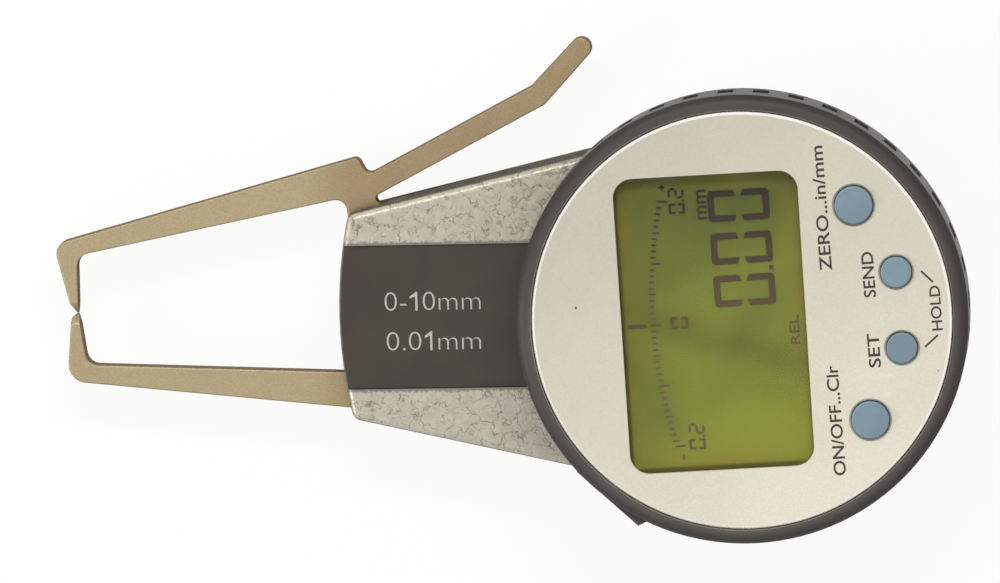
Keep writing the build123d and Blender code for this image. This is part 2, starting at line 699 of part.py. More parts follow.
with BuildPart() as label_plate:
    with BuildSketch(Plane.XY.offset(HOUSING_T - LABEL_SUNK - LABEL_T)):
        with Locations((-(NOSE_REACH + LABEL_END) / 2, 0)):
            Rectangle(NOSE_REACH - LABEL_END - 2 * LOCATE, LABEL_W - 2 * LOCATE)
        with Locations((NOSE_X + NOSE_R, 0)):
            Circle(NOSE_R - FRONT_EDGE_R / 4, mode=Mode.INTERSECT)
    extrude(amount=LABEL_T)
label_plate.part.label = "label_plate"
export_step(label_plate.part, "parts/label_plate.step")


def tip_facets(tip_y, side):
    """Cuts the two facets that meet in a tip's edge; side is +1 for a jaw above its tip."""
    for face in (1, -1):
        with BuildSketch(Plane.YZ.offset(TIP_X)) as waste:
            with BuildLine():
                Polyline(
                    (tip_y, Z_MID_ARM), (tip_y + side * TIP_FACET, Z_MID_ARM + face * ARM_T / 2),
                    (tip_y + side * TIP_FACET, Z_MID_ARM + face * ARM_T),
                    (tip_y - side * TIP_FACET, Z_MID_ARM + face * ARM_T),
                    (tip_y - side * TIP_FACET, Z_MID_ARM), close=True,
                )
            make_face()
        extrude(waste.sketch, amount=2 * TIP_FACET, both=True, mode=Mode.SUBTRACT)


with BuildPart() as fixed_arm:
    with BuildSketch(Plane.XY.offset(ARM_Z)) as fixed_plate:
        with BuildLine():
            Polyline(
                (TIP_X + TIP_EDGE / 2, TIP_Y - TIP_GAP), fixed_inner,
                (foot_end_x, fixed_edge(foot_end_x)),
                (foot_end_x, -neck_y(foot_end_x, SIDE_WALL + MOVE_GAP)),
                (foot_start_x, -neck_y(foot_start_x, SIDE_WALL + MOVE_GAP)),
                slot_root, fixed_outer, (TIP_X - FIXED_TIP_OUT, TIP_Y - TIP_FACET / 2),
                (TIP_X - TIP_EDGE / 2, TIP_Y - TIP_GAP), close=True,
            )
        make_face()
        round_at(fixed_plate, [fixed_inner], JAW_INNER_R)
        round_at(fixed_plate, [fixed_outer], FIXED_OUTER_R)
        circles(CLAMP_SCREWS, M2_R + LOCATE, Mode.SUBTRACT)
        circles(CLAMP_DOWELS, STUD_R + PRESS_FIT, Mode.SUBTRACT)
    extrude(amount=ARM_T)
    tip_facets(TIP_Y - TIP_GAP, -1)
fixed_arm.part.label = "fixed_arm"
export_step(fixed_arm.part, "parts/fixed_arm.step")

clamp_screw = screw(M2_R, ARM_T + BITE, M2_HEAD_R, M2_HEAD_T)
with BuildPart() as clamp_screws:
    with Locations(*[(x, y, ARM_Z - M2_HEAD_T) for x, y in CLAMP_SCREWS]):
        add(clamp_screw)
clamp_screws.part.label = "clamp_screws"
export_step(clamp_screws.part, "parts/clamp_screws.step")

with BuildPart() as clamp_dowels:
    with BuildSketch(Plane.XY.offset(ARM_Z)):
        circles(CLAMP_DOWELS, STUD_R)
    extrude(amount=ARM_T + BITE)
clamp_dowels.part.label = "clamp_dowels"
export_step(clamp_dowels.part, "parts/clamp_dowels.step")

with BuildPart() as bearing_bridge:
    with BuildSketch(Plane.XY.offset(Z_BRIDGE)):
        for post in POSTS[:2]:
            tapered_bar(PIVOT, BUSH_R + BRIDGE_WALL, post, POST_R)
            tapered_bar(ENCODER, COLLET_R + POST_R / 2, post, POST_R)
        tapered_bar(ENCODER, COLLET_R + POST_R / 2, POSTS[2], POST_R)
        tapered_bar(ENCODER, COLLET_R + POST_R / 2, SPIRAL_STUD, 2 * STUD_R)
        circles([PIVOT], BUSH_R + PRESS_FIT, Mode.SUBTRACT)
        circles([ENCODER], PINION_BUSH_R + PRESS_FIT, Mode.SUBTRACT)
        circles([SPIRAL_STUD], STUD_R + PRESS_FIT, Mode.SUBTRACT)
        circles(POSTS, SMALL_HEAD_R + LOCATE, Mode.SUBTRACT)
    extrude(amount=BRIDGE_T)
    with BuildSketch(Plane.XY.offset(Z_BRIDGE_TOP)):
        circles(POSTS, SMALL_HEAD_R + 2 * LOCATE)
        circles(POSTS, SMALL_R + LOCATE, Mode.SUBTRACT)
    extrude(amount=-(BRIDGE_T - SMALL_HEAD_T))
bearing_bridge.part.label = "bearing_bridge"
export_step(bearing_bridge.part, "parts/bearing_bridge.step")

bridge_screw = screw(
    SMALL_R, BRIDGE_T - SMALL_HEAD_T + BITE, SMALL_HEAD_R, SMALL_HEAD_T
)
with BuildPart() as bridge_screws:
    with Locations(*[(x, y, Z_BRIDGE) for x, y in POSTS]):
        add(bridge_screw)
bridge_screws.part.label = "bridge_screws"
export_step(bridge_screws.part, "parts/bridge_screws.step")

with BuildPart() as pivot_bushes:
    for level, height in ((Z_BRIDGE, BRIDGE_T), (Z_BUSH_TOP, BUSH_T)):
        with BuildSketch(Plane.XY.offset(level)):
            circles([PIVOT], BUSH_R)
            circles([PIVOT], PIVOT_R + RUN_FIT, Mode.SUBTRACT)
        extrude(amount=height)
pivot_bushes.part.label = "pivot_bushes"
export_step(pivot_bushes.part, "parts/pivot_bushes.step")

with BuildPart() as pinion_bushes:
    for level, height in ((Z_BRIDGE, BRIDGE_T), (Z_BUSH_TOP, BUSH_T)):
        with BuildSketch(Plane.XY.offset(level)):
            circles([ENCODER], PINION_BUSH_R)
            circles([ENCODER], JOURNAL_R + RUN_FIT, Mode.SUBTRACT)
        extrude(amount=height)
pinion_bushes.part.label = "pinion_bushes"
export_step(pinion_bushes.part, "parts/pinion_bushes.step")

with BuildPart() as stop_pin:
    with BuildSketch(Plane.XY.offset(ARM_Z)):
        circles([STOP_PIN], STOP_PIN_R)
    extrude(amount=Z_CEILING - ARM_Z + PIN_SEAT)
stop_pin.part.label = "stop_pin"
export_step(stop_pin.part, "parts/stop_pin.step")

with BuildPart() as spring_anchor:
    with BuildSketch(Plane.XY.offset(Z_ARM_TOP)):
        circles([SPRING_ANCHOR], HOOK_PIN_R)
    extrude(amount=Z_CEILING - Z_ARM_TOP + PIN_SEAT)
spring_anchor.part.label = "spring_anchor"
export_step(spring_anchor.part, "parts/spring_anchor.step")

# The return spring: a close coil between two wire legs that end in eyes
spring_from = Vector(TAIL[0], TAIL[1], Z_SPRING)
spring_to = Vector(SPRING_ANCHOR[0], SPRING_ANCHOR[1], Z_SPRING)
spring_way = (spring_to - spring_from).normalized()
coil_len = SPRING_TURNS * SPRING_LEAD
coil_lead = ((spring_to - spring_from).length - coil_len) / 2
coil_ends = (spring_from + spring_way * coil_lead, spring_to - spring_way * coil_lead)
eye_r = HOOK_PIN_R + SPRING_WIRE / 2 + PRESS_FIT

with BuildPart() as return_spring:
    with BuildLine():
        coil = Helix(
            SPRING_LEAD, coil_len, SPRING_R, center=tuple(coil_ends[0]),
            direction=tuple(spring_way),
        )
    with BuildSketch(Plane(origin=coil @ 0, z_dir=coil % 0)):
        Circle(SPRING_WIRE / 2)
    sweep()
    for pin, inner, bend in (
        (spring_from, coil_ends[0], coil @ 0), (spring_to, coil_ends[1], coil @ 1),
    ):
        away = (inner - pin).normalized()
        with BuildSketch(Plane(origin=pin + away * eye_r, z_dir=away)):
            Circle(SPRING_WIRE / 2)
        extrude(amount=(inner - pin).length - eye_r + SPRING_WIRE / 3)
        with BuildSketch(Plane(origin=inner, z_dir=bend - inner)):
            Circle(SPRING_WIRE / 2)
        extrude(amount=SPRING_R)
        with Locations(tuple(inner), tuple(bend)):
            Sphere(SPRING_WIRE / 2 + PRESS_FIT)
        with Locations(tuple(pin)):
            Torus(eye_r, SPRING_WIRE / 2)
return_spring.part.label = "return_spring"
export_step(return_spring.part, "parts/return_spring.step")

with BuildPart() as encoder_board:
    with BuildSketch(Plane.XY.offset(Z_ENCODER_BOARD)):
        circles([ENCODER], BOARD_R)
        circles([ENCODER], PINION_BUSH_R + PINION_BUSH_WALL + MOVE_GAP, Mode.SUBTRACT)
        circles(ENCODER_SCREWS, SMALL_R + LOCATE, Mode.SUBTRACT)
    extrude(amount=BOARD_T)
encoder_board.part.label = "encoder_board"
export_step(encoder_board.part, "parts/encoder_board.step")

encoder_screw = screw(SMALL_R, BOARD_T + BOARD_DROP + PIN_SEAT, SMALL_HEAD_R, SMALL_HEAD_T)
with BuildPart() as encoder_screws:
    with Locations(*[(x, y, Z_ENCODER_BOARD - SMALL_HEAD_T) for x, y in ENCODER_SCREWS]):
        add(encoder_screw)
encoder_screws.part.label = "encoder_screws"
export_step(encoder_screws.part, "parts/encoder_screws.step")

board_end_x = ENCODER[0] + BOARD_R
with BuildPart() as encoder_socket:
    with BuildSketch(Plane.XY.offset(Z_ENCODER_BOARD)):
        with Locations(((ENCODER[0] + DISC_R + MOVE_GAP + board_end_x) / 2, 0)):
            Rectangle(BOARD_R - DISC_R - MOVE_GAP, FLEX_W + 2 * SOCKET_SIDE)
    extrude(amount=-SOCKET_T)
encoder_socket.part.label = "encoder_socket"
export_step(encoder_socket.part, "parts/encoder_socket.step")

# The flex cable runs level under the display's spigot and up its bore
with BuildPart() as flex_cable:
    with BuildSketch(Plane.XZ) as ribbon:
        with BuildLine():
            Polyline(
                (board_end_x, Z_FLEX), (FLEX_T / 2, Z_FLEX), (FLEX_T / 2, Z_BOARD - CHIP_T),
                (-FLEX_T / 2, Z_BOARD - CHIP_T), (-FLEX_T / 2, Z_FLEX + FLEX_T),
                (board_end_x, Z_FLEX + FLEX_T), close=True,
            )
        make_face()
        round_at(ribbon, [(FLEX_T / 2, Z_FLEX)], FLEX_BEND + FLEX_T)
        round_at(ribbon, [(-FLEX_T / 2, Z_FLEX + FLEX_T)], FLEX_BEND)
    extrude(amount=FLEX_W / 2, both=True)
flex_cable.part.label = "flex_cable"
export_step(flex_cable.part, "parts/flex_cable.step")


def spiral(offset):
    """Points along the hairspring, beside its middle line."""
    first = COLLET_R + SPIRAL_WIRE / 2
    last = STUD_AT - STUD_R - SPIRAL_WIRE / 2
    steps = SPIRAL_TURNS * 360 // SPIRAL_STEP
    return [
        polar(ENCODER, first + (last - first) * step / steps + offset, SPIRAL_STEP * step)
        for step in range(steps + 1)
    ]


Z_SPIRAL = (ARM_Z + Z_DISC) / 2
with BuildPart() as hairspring:
    with BuildSketch(Plane.XY.offset(Z_SPIRAL - SPIRAL_H / 2)):
        with BuildLine():
            outer_edge = Spline(*spiral(SPIRAL_WIRE / 2))
            inner_edge = Spline(*spiral(-SPIRAL_WIRE / 2))
            Line(outer_edge @ 0, inner_edge @ 0)
            Line(outer_edge @ 1, inner_edge @ 1)
        make_face()
    extrude(amount=SPIRAL_H)
hairspring.part.label = "hairspring"
export_step(hairspring.part, "parts/hairspring.step")

with BuildPart() as hairspring_stud:
    with BuildSketch(Plane.XY.offset(Z_BRIDGE)):
        circles([SPIRAL_STUD], STUD_R)
    extrude(amount=Z_SPIRAL + SPIRAL_H / 2 - Z_BRIDGE)
hairspring_stud.part.label = "hairspring_stud"
export_step(hairspring_stud.part, "parts/hairspring_stud.step")

with BuildPart() as battery:
    with BuildSketch(Plane.XY.offset(Z_CELL)):
        circles([CELL], CELL_R)
    extrude(amount=CELL_T)
    fillet(battery.edges(), CONTACT_H / 2)
battery.part.label = "battery"
export_step(battery.part, "parts/battery.step")

with BuildPart() as battery_holder:
    with BuildSketch(Plane.XY.offset(Z_CELL)):
        circles([CELL], HOLDER_BORE + HOLDER_WALL)
        circles([CELL], HOLDER_BORE, Mode.SUBTRACT)
    extrude(amount=Z_HOLDER - Z_CELL)
    with BuildSketch(Plane.XY.offset(Z_HOLDER)):
        circles([CELL], HOLDER_BORE + HOLDER_WALL)
        tapered_bar(EARS[0], POST_R, EARS[1], POST_R)
        circles(EARS, SMALL_R + LOCATE, Mode.SUBTRACT)
    extrude(amount=HOLDER_FLOOR)
battery_holder.part.label = "battery_holder"
export_step(battery_holder.part, "parts/battery_holder.step")

holder_screw = screw(SMALL_R, HOLDER_FLOOR + BITE, SMALL_HEAD_R, SMALL_HEAD_T)
with BuildPart() as holder_screws:
    with Locations(*[(x, y, Z_HOLDER - SMALL_HEAD_T) for x, y in EARS]):
        add(holder_screw)
holder_screws.part.label = "holder_screws"
export_step(holder_screws.part, "parts/holder_screws.step")

with BuildPart() as battery_contacts:
    with BuildSketch(Plane.XY.offset(Z_HOLDER)):
        with Locations(CELL):
            Rectangle(CONTACT_L, CONTACT_W)
    extrude(amount=-CONTACT_T)
    with BuildSketch(Plane.XY.offset(Z_HOLDER)):
        circles([CELL], CONTACT_PAD_R)
    extrude(amount=-CONTACT_H)
    with BuildSketch(Plane.XY.offset(Z_CELL + CONTACT_H)):
        fan(CELL, HOLDER_BORE, *SIDE_CONTACT)
        circles([CELL], HOLDER_BORE - CONTACT_T, Mode.SUBTRACT)
    extrude(amount=CELL_T - CONTACT_H)
battery_contacts.part.label = "battery_contacts"
export_step(battery_contacts.part, "parts/battery_contacts.step")

# Two wires from the holder's side to the back of the encoder board
lead_start_x = CELL_X - sqrt((HOLDER_BORE + HOLDER_WALL) ** 2 - LEAD_Y**2) - LEAD_R
lead_end_x = ENCODER[0] + sqrt(((DISC_R + BOARD_R) / 2) ** 2 - LEAD_Y**2)
lead_z = Z_HOLDER + HOLDER_FLOOR / 2
with BuildPart() as battery_leads:
    for side in (1, -1):
        with BuildLine():
            lead = FilletPolyline(
                (lead_start_x, side * LEAD_Y, lead_z), (lead_end_x, side * LEAD_Y, lead_z),
                (lead_end_x, side * LEAD_Y, Z_ENCODER_BOARD), radius=3 * LEAD_R,
            )
        with BuildSketch(Plane(origin=lead @ 0, z_dir=lead % 0)):
            Circle(LEAD_R)
        sweep()
battery_leads.part.label = "battery_leads"
export_step(battery_leads.part, "parts/battery_leads.step")

seal_r = CAP_R - SEAL_WIRE_R + LOCATE / 4
with BuildPart() as battery_cap:
    with BuildSketch():
        circles([CELL], CAP_R)
    extrude(amount=COVER_T)
    with BuildSketch():
        with Locations(CELL):
            SlotOverall(1.5 * CAP_R, COIN_SLOT_W)
    extrude(amount=COIN_SLOT_DEPTH, mode=Mode.SUBTRACT)
    with BuildSketch(Plane.XY.offset(COVER_T / 2 - SEAL_WIRE_R)):
        circles([CELL], CAP_R + LOCATE)
        circles([CELL], seal_r - SEAL_WIRE_R, Mode.SUBTRACT)
    extrude(amount=2 * SEAL_WIRE_R, mode=Mode.SUBTRACT)
battery_cap.part.label = "battery_cap"
export_step(battery_cap.part, "parts/battery_cap.step")

with BuildPart() as battery_seal:
    with Locations((CELL_X, 0, COVER_T / 2)):
        Torus(seal_r, SEAL_WIRE_R)
battery_seal.part.label = "battery_seal"
export_step(battery_seal.part, "parts/battery_seal.step")

with BuildPart() as friction_washer:
    with BuildSketch(Plane.XY.offset(HOUSING_T)):
        Circle(WASHER_R)
        Circle(WASHER_BORE, mode=Mode.SUBTRACT)
    extrude(amount=HEAD_GAP)
friction_washer.part.label = "friction_washer"
export_step(friction_washer.part, "parts/friction_washer.step")

with BuildPart() as rotation_stop:
    with BuildSketch(Plane.XY.offset(Z_CEILING)):
        circles([polar((0, 0), STOP_AT, STOP_ANGLE)], STOP_R)
    extrude(amount=Z_HEAD + STOP_PROUD - Z_CEILING)
rotation_stop.part.label = "rotation_stop"
export_step(rotation_stop.part, "parts/rotation_stop.step")

with BuildPart() as moving_arm:
    with BuildSketch(Plane.XY.offset(ARM_Z)) as moving_plate:
        with BuildLine():
            Polyline(
                (TIP_X + TIP_EDGE / 2, TIP_Y), jaw_inner, neck_top, neck_low, web_left,
                (PIVOT[0] - HUB_DISC_R * WEB_SPREAD, PIVOT[1] + HUB_DISC_R * WEB_RISE), PIVOT,
                (PIVOT[0] + HUB_DISC_R * WEB_SPREAD, PIVOT[1] + HUB_DISC_R * WEB_RISE), web_right,
                neck_right, lever_below, lever_above, notch, beam_end, jaw_outer,
                (TIP_X - MOVING_TIP_OUT, TIP_Y + TIP_FACET), (TIP_X - TIP_EDGE / 2, TIP_Y),
                close=True,
            )
        make_face()
        round_at(moving_plate, [jaw_inner, jaw_outer], JAW_OUTER_R)
        round_at(moving_plate, [neck_top], NECK_TOP_R)
        round_at(moving_plate, [beam_end, notch], NOTCH_R)
        round_at(moving_plate, [neck_right], NECK_RIGHT_R)
        tapered_bar(lever_start, LEVER_W / 2, lever_bend, LEVER_W / 2)
        tapered_bar(lever_bend, LEVER_W / 2, lever_end, LEVER_TIP_W / 2)
        tapered_bar(PIVOT, HUB_DISC_R, TAIL, TAIL_R)
        circles([PIVOT], HUB_R + PRESS_FIT, Mode.SUBTRACT)
        circles([RIVET], RIVET_R + PRESS_FIT, Mode.SUBTRACT)
        circles([TAIL], HOOK_PIN_R + PRESS_FIT, Mode.SUBTRACT)
    extrude(amount=ARM_T)
    tip_facets(TIP_Y, 1)
moving_arm.part.label = "moving_arm"
export_step(moving_arm.part, "parts/moving_arm.step")

with BuildPart() as arm_hub:
    with BuildSketch(Plane.XY.offset(Z_SECTOR)):
        circles([PIVOT], HUB_R)
    extrude(amount=Z_ARM_TOP - Z_SECTOR)
    with BuildSketch(Plane.XY.offset(Z_ARM_TOP)):
        circles([PIVOT], HUB_FLANGE_R)
    extrude(amount=HUB_FLANGE_T)
    with BuildSketch(Plane.XY.offset(Z_SECTOR)):
        circles([PIVOT], PIVOT_R + PRESS_FIT)
    extrude(amount=Z_ARM_TOP + HUB_FLANGE_T - Z_SECTOR, mode=Mode.SUBTRACT)
arm_hub.part.label = "arm_hub"
export_step(arm_hub.part, "parts/arm_hub.step")

with BuildPart() as pivot_shaft:
    with BuildSketch(Plane.XY.offset(Z_BRIDGE)):
        circles([PIVOT], PIVOT_R)
    extrude(amount=Z_CEILING - RUN_FIT - Z_BRIDGE)
pivot_shaft.part.label = "pivot_shaft"
export_step(pivot_shaft.part, "parts/pivot_shaft.step")

sector_root_r = SECTOR_PITCH_R - DEDENDUM * MODULE
sector_low = MESH_ANGLE - (SPARE_TEETH + SECTOR_SPARE) * TOOTH_PITCH
sector_high = MESH_ANGLE + (MESHED_TEETH + SPARE_TEETH + SECTOR_SPARE) * TOOTH_PITCH
slim_low = sector_low + SECTOR_SPOKE * TOOTH_PITCH
slim_high = sector_high - SECTOR_SPOKE * TOOTH_PITCH
with BuildPart() as sector_gear:
    with BuildSketch(Plane.XY.offset(Z_SECTOR)):
        fan(PIVOT, sector_root_r, sector_low, sector_high)
        with BuildLine():
            window_r = sector_root_r - SECTOR_RIM
            Line(polar(PIVOT, TAIL_LEN + TAIL_R, slim_low), polar(PIVOT, window_r, slim_low))
            RadiusArc(polar(PIVOT, window_r, slim_low), polar(PIVOT, window_r, slim_high), -window_r)
            Line(polar(PIVOT, window_r, slim_high), polar(PIVOT, TAIL_LEN + TAIL_R, slim_high))
            Line(
                polar(PIVOT, TAIL_LEN + TAIL_R, slim_high), polar(PIVOT, TAIL_LEN + TAIL_R, slim_low)
            )
        make_face(mode=Mode.SUBTRACT)
        tapered_bar(PIVOT, HUB_DISC_R - MOVE_GAP, TAIL, TAIL_R - MOVE_GAP)
        for tooth in range(-SPARE_TEETH, MESHED_TEETH + SPARE_TEETH + 1):
            gear_tooth(PIVOT, SECTOR_PITCH_R, SECTOR_TEETH, MESH_ANGLE + tooth * TOOTH_PITCH)
        circles([PIVOT], HUB_R + PRESS_FIT, Mode.SUBTRACT)
        circles([RIVET], RIVET_R + PRESS_FIT, Mode.SUBTRACT)
        circles([TAIL], HOOK_PIN_R + PRESS_FIT, Mode.SUBTRACT)
    extrude(amount=SECTOR_T)
sector_gear.part.label = "sector_gear"
export_step(sector_gear.part, "parts/sector_gear.step")

with BuildPart() as sector_rivet:
    with BuildSketch(Plane.XY.offset(Z_SECTOR)):
        circles([RIVET], RIVET_R)
    extrude(amount=Z_ARM_TOP - Z_SECTOR)
sector_rivet.part.label = "sector_rivet"
export_step(sector_rivet.part, "parts/sector_rivet.step")

with BuildPart() as spring_post:
    with BuildSketch(Plane.XY.offset(Z_SECTOR)):
        circles([TAIL], HOOK_PIN_R)
    extrude(amount=Z_CEILING - MOVE_GAP - Z_SECTOR)
spring_post.part.label = "spring_post"
export_step(spring_post.part, "parts/spring_post.step")

pinion_root_r = PINION_PITCH_R - DEDENDUM * MODULE
with BuildPart() as pinion_shaft:
    with BuildSketch(Plane.XY.offset(Z_SECTOR - LOCATE)):
        circles([ENCODER], pinion_root_r)
        for tooth in range(PINION_TEETH):
            gear_tooth(
                ENCODER, PINION_PITCH_R, PINION_TEETH,
                MESH_ANGLE + 180 + (tooth + 0.5) * 360 / PINION_TEETH,
            )
    extrude(amount=SECTOR_T + 2 * LOCATE)
    with BuildSketch(Plane.XY.offset(ARM_Z)):
        circles([ENCODER], ARBOR_R)
    extrude(amount=Z_DISC + DISC_T + LOCATE - ARM_Z)
    with BuildSketch(Plane.XY.offset(Z_BRIDGE)):
        circles([ENCODER], JOURNAL_R)
    extrude(amount=Z_CEILING - RUN_FIT - Z_BRIDGE)
pinion_shaft.part.label = "pinion_shaft"
export_step(pinion_shaft.part, "parts/pinion_shaft.step")

with BuildPart() as encoder_disc:
    with BuildSketch(Plane.XY.offset(Z_DISC)):
        circles([ENCODER], DISC_R)
        circles([ENCODER], ARBOR_R + PRESS_FIT, Mode.SUBTRACT)
    extrude(amount=DISC_T)
encoder_disc.part.label = "encoder_disc"
export_step(encoder_disc.part, "parts/encoder_disc.step")

with BuildPart() as hairspring_collet:
    with BuildSketch(Plane.XY.offset(Z_SPIRAL - SPIRAL_H / 2)):
        circles([ENCODER], COLLET_R)
        circles([ENCODER], ARBOR_R + PRESS_FIT, Mode.SUBTRACT)
    extrude(amount=SPIRAL_H)
hairspring_collet.part.label = "hairspring_collet"
export_step(hairspring_collet.part, "parts/hairspring_collet.step")

# Display head
LCD_W = WINDOW_W + LENS_LIP
LCD_H = WINDOW_H + LENS_LIP
HOLDER_GROWTH = 2 * (HOLDER_RIM + LOCATE)
CASE_BORE = HEAD_R - CASE_WALL
LEDGE_R = FACE_R - FACE_LEDGE
Z_LUG_TOP = Z_BACK_TOP + CASE_LUG_H
with BuildPart() as bezel_case:
    with BuildSketch(Plane.XZ):
        with BuildLine():
            Line((HEAD_R, Z_HEAD), (HEAD_R, Z_CREASE))
            ThreePointArc(
                (HEAD_R, Z_CREASE), ((HEAD_R + FACE_R) / 2 + CROWN_BULGE, Z_CROWN - CROWN_BULGE),
                (FACE_R + LOCATE, Z_CROWN),
            )
            Polyline(
                (FACE_R + LOCATE, Z_CROWN), (FACE_R + LOCATE, Z_FACE_BACK), (LEDGE_R, Z_FACE_BACK),
                (LEDGE_R, Z_LUG_TOP), (CASE_BORE, Z_LUG_TOP - CASE_BORE + LEDGE_R),
                (CASE_BORE, Z_HEAD), (HEAD_R, Z_HEAD),
            )
        make_face()
    revolve(axis=Axis.Z)
    # Grip slots round the side
    with BuildSketch(head_plane(Z_CREASE - GRIP_BELOW)):
        with PolarLocations(HEAD_R, GRIP_COUNT, start_angle=GRIP_TURN):
            Rectangle(2 * GRIP_DEPTH, GRIP_L)
    extrude(amount=-GRIP_H, mode=Mode.SUBTRACT)
    # Boss with the data port's flat, which closes the slots that it covers
    with BuildSketch(head_plane(Z_HEAD)):
        foot = polar(polar((0, 0), PORT_DIST, PORT_ANGLE), PORT_SHIFT, PORT_ANGLE + 90)
        heel = polar(polar((0, 0), CASE_BORE + PORT_SUNK, PORT_ANGLE), PORT_SHIFT, PORT_ANGLE + 90)
        tip_w, heel_w = PORT_W / 2, PORT_W / 2 + PORT_DRAFT
        with BuildLine():
            Polyline(
                polar(foot, tip_w, PORT_ANGLE - 90), polar(heel, heel_w, PORT_ANGLE - 90),
                polar(heel, heel_w, PORT_ANGLE + 90), polar(foot, tip_w, PORT_ANGLE + 90), close=True,
            )
        make_face()
        Circle(CASE_BORE, mode=Mode.SUBTRACT)
    extrude(amount=PORT_H)
    with BuildSketch(head_plane(Z_BACK_TOP)):
        for lug in range(4):
            with Locations(polar((0, 0), (CASE_LUG_AT + CASE_BORE) / 2, 90 * lug)):
                Rectangle(
                    CASE_BORE - CASE_LUG_AT + 2 * PORT_SUNK, 2 * CASE_LUG_R, rotation=90 * lug
                )
        circles(CASE_LUGS, CASE_LUG_R)
        circles(CASE_LUGS, M2_R + THREAD_PLAY, Mode.SUBTRACT)
    extrude(amount=CASE_LUG_H)
    # Room for the holder of the liquid crystal panel
    with BuildSketch(head_plane(Z_BOARD_TOP)):
        with Locations((0, WINDOW_UP)):
            RectangleRounded(
                LCD_W + HOLDER_GROWTH + 2 * LOCATE, LCD_H + HOLDER_GROWTH + 2 * LOCATE,
                LCD_R + HOLDER_GROWTH + LOCATE,
            )
    extrude(amount=Z_FACE_BACK - Z_BOARD_TOP, mode=Mode.SUBTRACT)
    # Recess for the port's cover and the hole behind it
    with BuildSketch(port_plane()):
        Rectangle(PORT_HOLE_W + 2 * PORT_LIP, PORT_HOLE_H + 2 * PORT_LIP)
    extrude(amount=-PORT_COVER_T, mode=Mode.SUBTRACT)
    with BuildSketch(port_plane()):
        Rectangle(PORT_HOLE_W, PORT_HOLE_H)
    extrude(amount=-(PORT_DIST - LEDGE_R + LOCATE), mode=Mode.SUBTRACT)
bezel_case.part.label = "bezel_case"
export_step(bezel_case.part, "parts/bezel_case.step")

# The head turns as far both ways from where the top of the display points straight at the jaws
GROOVE_LOW = STOP_ANGLE + DISPLAY_TURN - 90 - HEAD_TRAVEL / 2
GROOVE_HIGH = STOP_ANGLE + DISPLAY_TURN - 90 + HEAD_TRAVEL / 2
with BuildPart() as case_back:
    with BuildSketch(Plane.XY.offset(Z_HEAD)):
        Circle(CASE_BORE - LOCATE)
    extrude(amount=BACK_T)
    with BuildSketch(Plane.XY.offset(Z_HEAD)):
        Circle(SPIGOT_R)
    extrude(amount=-SPIGOT_LEN)
    with BuildSketch(Plane.XY.offset(Z_SPIGOT)):
        Circle(SPIGOT_BORE)
    extrude(amount=SPIGOT_LEN + BACK_T, mode=Mode.SUBTRACT)
    with BuildSketch(Plane.XY.offset(Z_RING - RUN_FIT / 2)):
        Circle(SPIGOT_R + RING_GROOVE)
        Circle(SPIGOT_R - RING_GROOVE, mode=Mode.SUBTRACT)
    extrude(amount=RING_T + RUN_FIT, mode=Mode.SUBTRACT)
    with BuildSketch(head_plane(Z_BACK_TOP)):
        circles(BOARD_POSTS, BOARD_POST_R)
    extrude(amount=BOARD_POST_H)
    with BuildSketch(head_plane(Z_BOARD)):
        circles(BOARD_POSTS, SMALL_R + THREAD_PLAY)
    extrude(amount=-(BITE + THREAD_PLAY), mode=Mode.SUBTRACT)
    with BuildSketch(head_plane(Z_HEAD)):
        circles(CASE_LUGS, M2_R + LOCATE)
    extrude(amount=BACK_T, mode=Mode.SUBTRACT)
    with BuildSketch(head_plane(Z_HEAD)):
        circles(CASE_LUGS, M2_HEAD_R + LOCATE)
    extrude(amount=M2_HEAD_T, mode=Mode.SUBTRACT)
    # Groove in which the stop pin limits the turn of the display
    with BuildSketch(Plane.XY.offset(Z_HEAD)):
        with BuildLine():
            groove_r = STOP_R + GROOVE_SPARE
            for radius in (STOP_AT - groove_r, STOP_AT + groove_r):
                ThreePointArc(
                    polar((0, 0), radius, GROOVE_LOW),
                    polar((0, 0), radius, (GROOVE_LOW + GROOVE_HIGH) / 2),
                    polar((0, 0), radius, GROOVE_HIGH),
                )
            for angle in (GROOVE_LOW, GROOVE_HIGH):
                Line(
                    polar((0, 0), STOP_AT - groove_r, angle), polar((0, 0), STOP_AT + groove_r, angle)
                )
        make_face()
        circles([polar((0, 0), STOP_AT, angle) for angle in (GROOVE_LOW, GROOVE_HIGH)], groove_r)
    extrude(amount=STOP_PROUD + GROOVE_SPARE, mode=Mode.SUBTRACT)
case_back.part.label = "case_back"
export_step(case_back.part, "parts/case_back.step")

case_screw = screw(M2_R, BACK_T - M2_HEAD_T + BITE, M2_HEAD_R, M2_HEAD_T)
with BuildPart() as case_screws:
    with Locations(*[head_point(lug, Z_HEAD) for lug in CASE_LUGS]):
        add(case_screw)
case_screws.part.label = "case_screws"
export_step(case_screws.part, "parts/case_screws.step")

with BuildPart() as retaining_ring:
    with BuildSketch(Plane.XY.offset(Z_RING)):
        Circle(RING_R)
        Circle(SPIGOT_R - RING_GROOVE + PRESS_FIT, mode=Mode.SUBTRACT)
        with Locations((RING_R, 0)):
            Rectangle(2 * RING_R, RING_MOUTH, mode=Mode.SUBTRACT)
    extrude(amount=RING_T)
retaining_ring.part.label = "retaining_ring"
export_step(retaining_ring.part, "parts/retaining_ring.step")

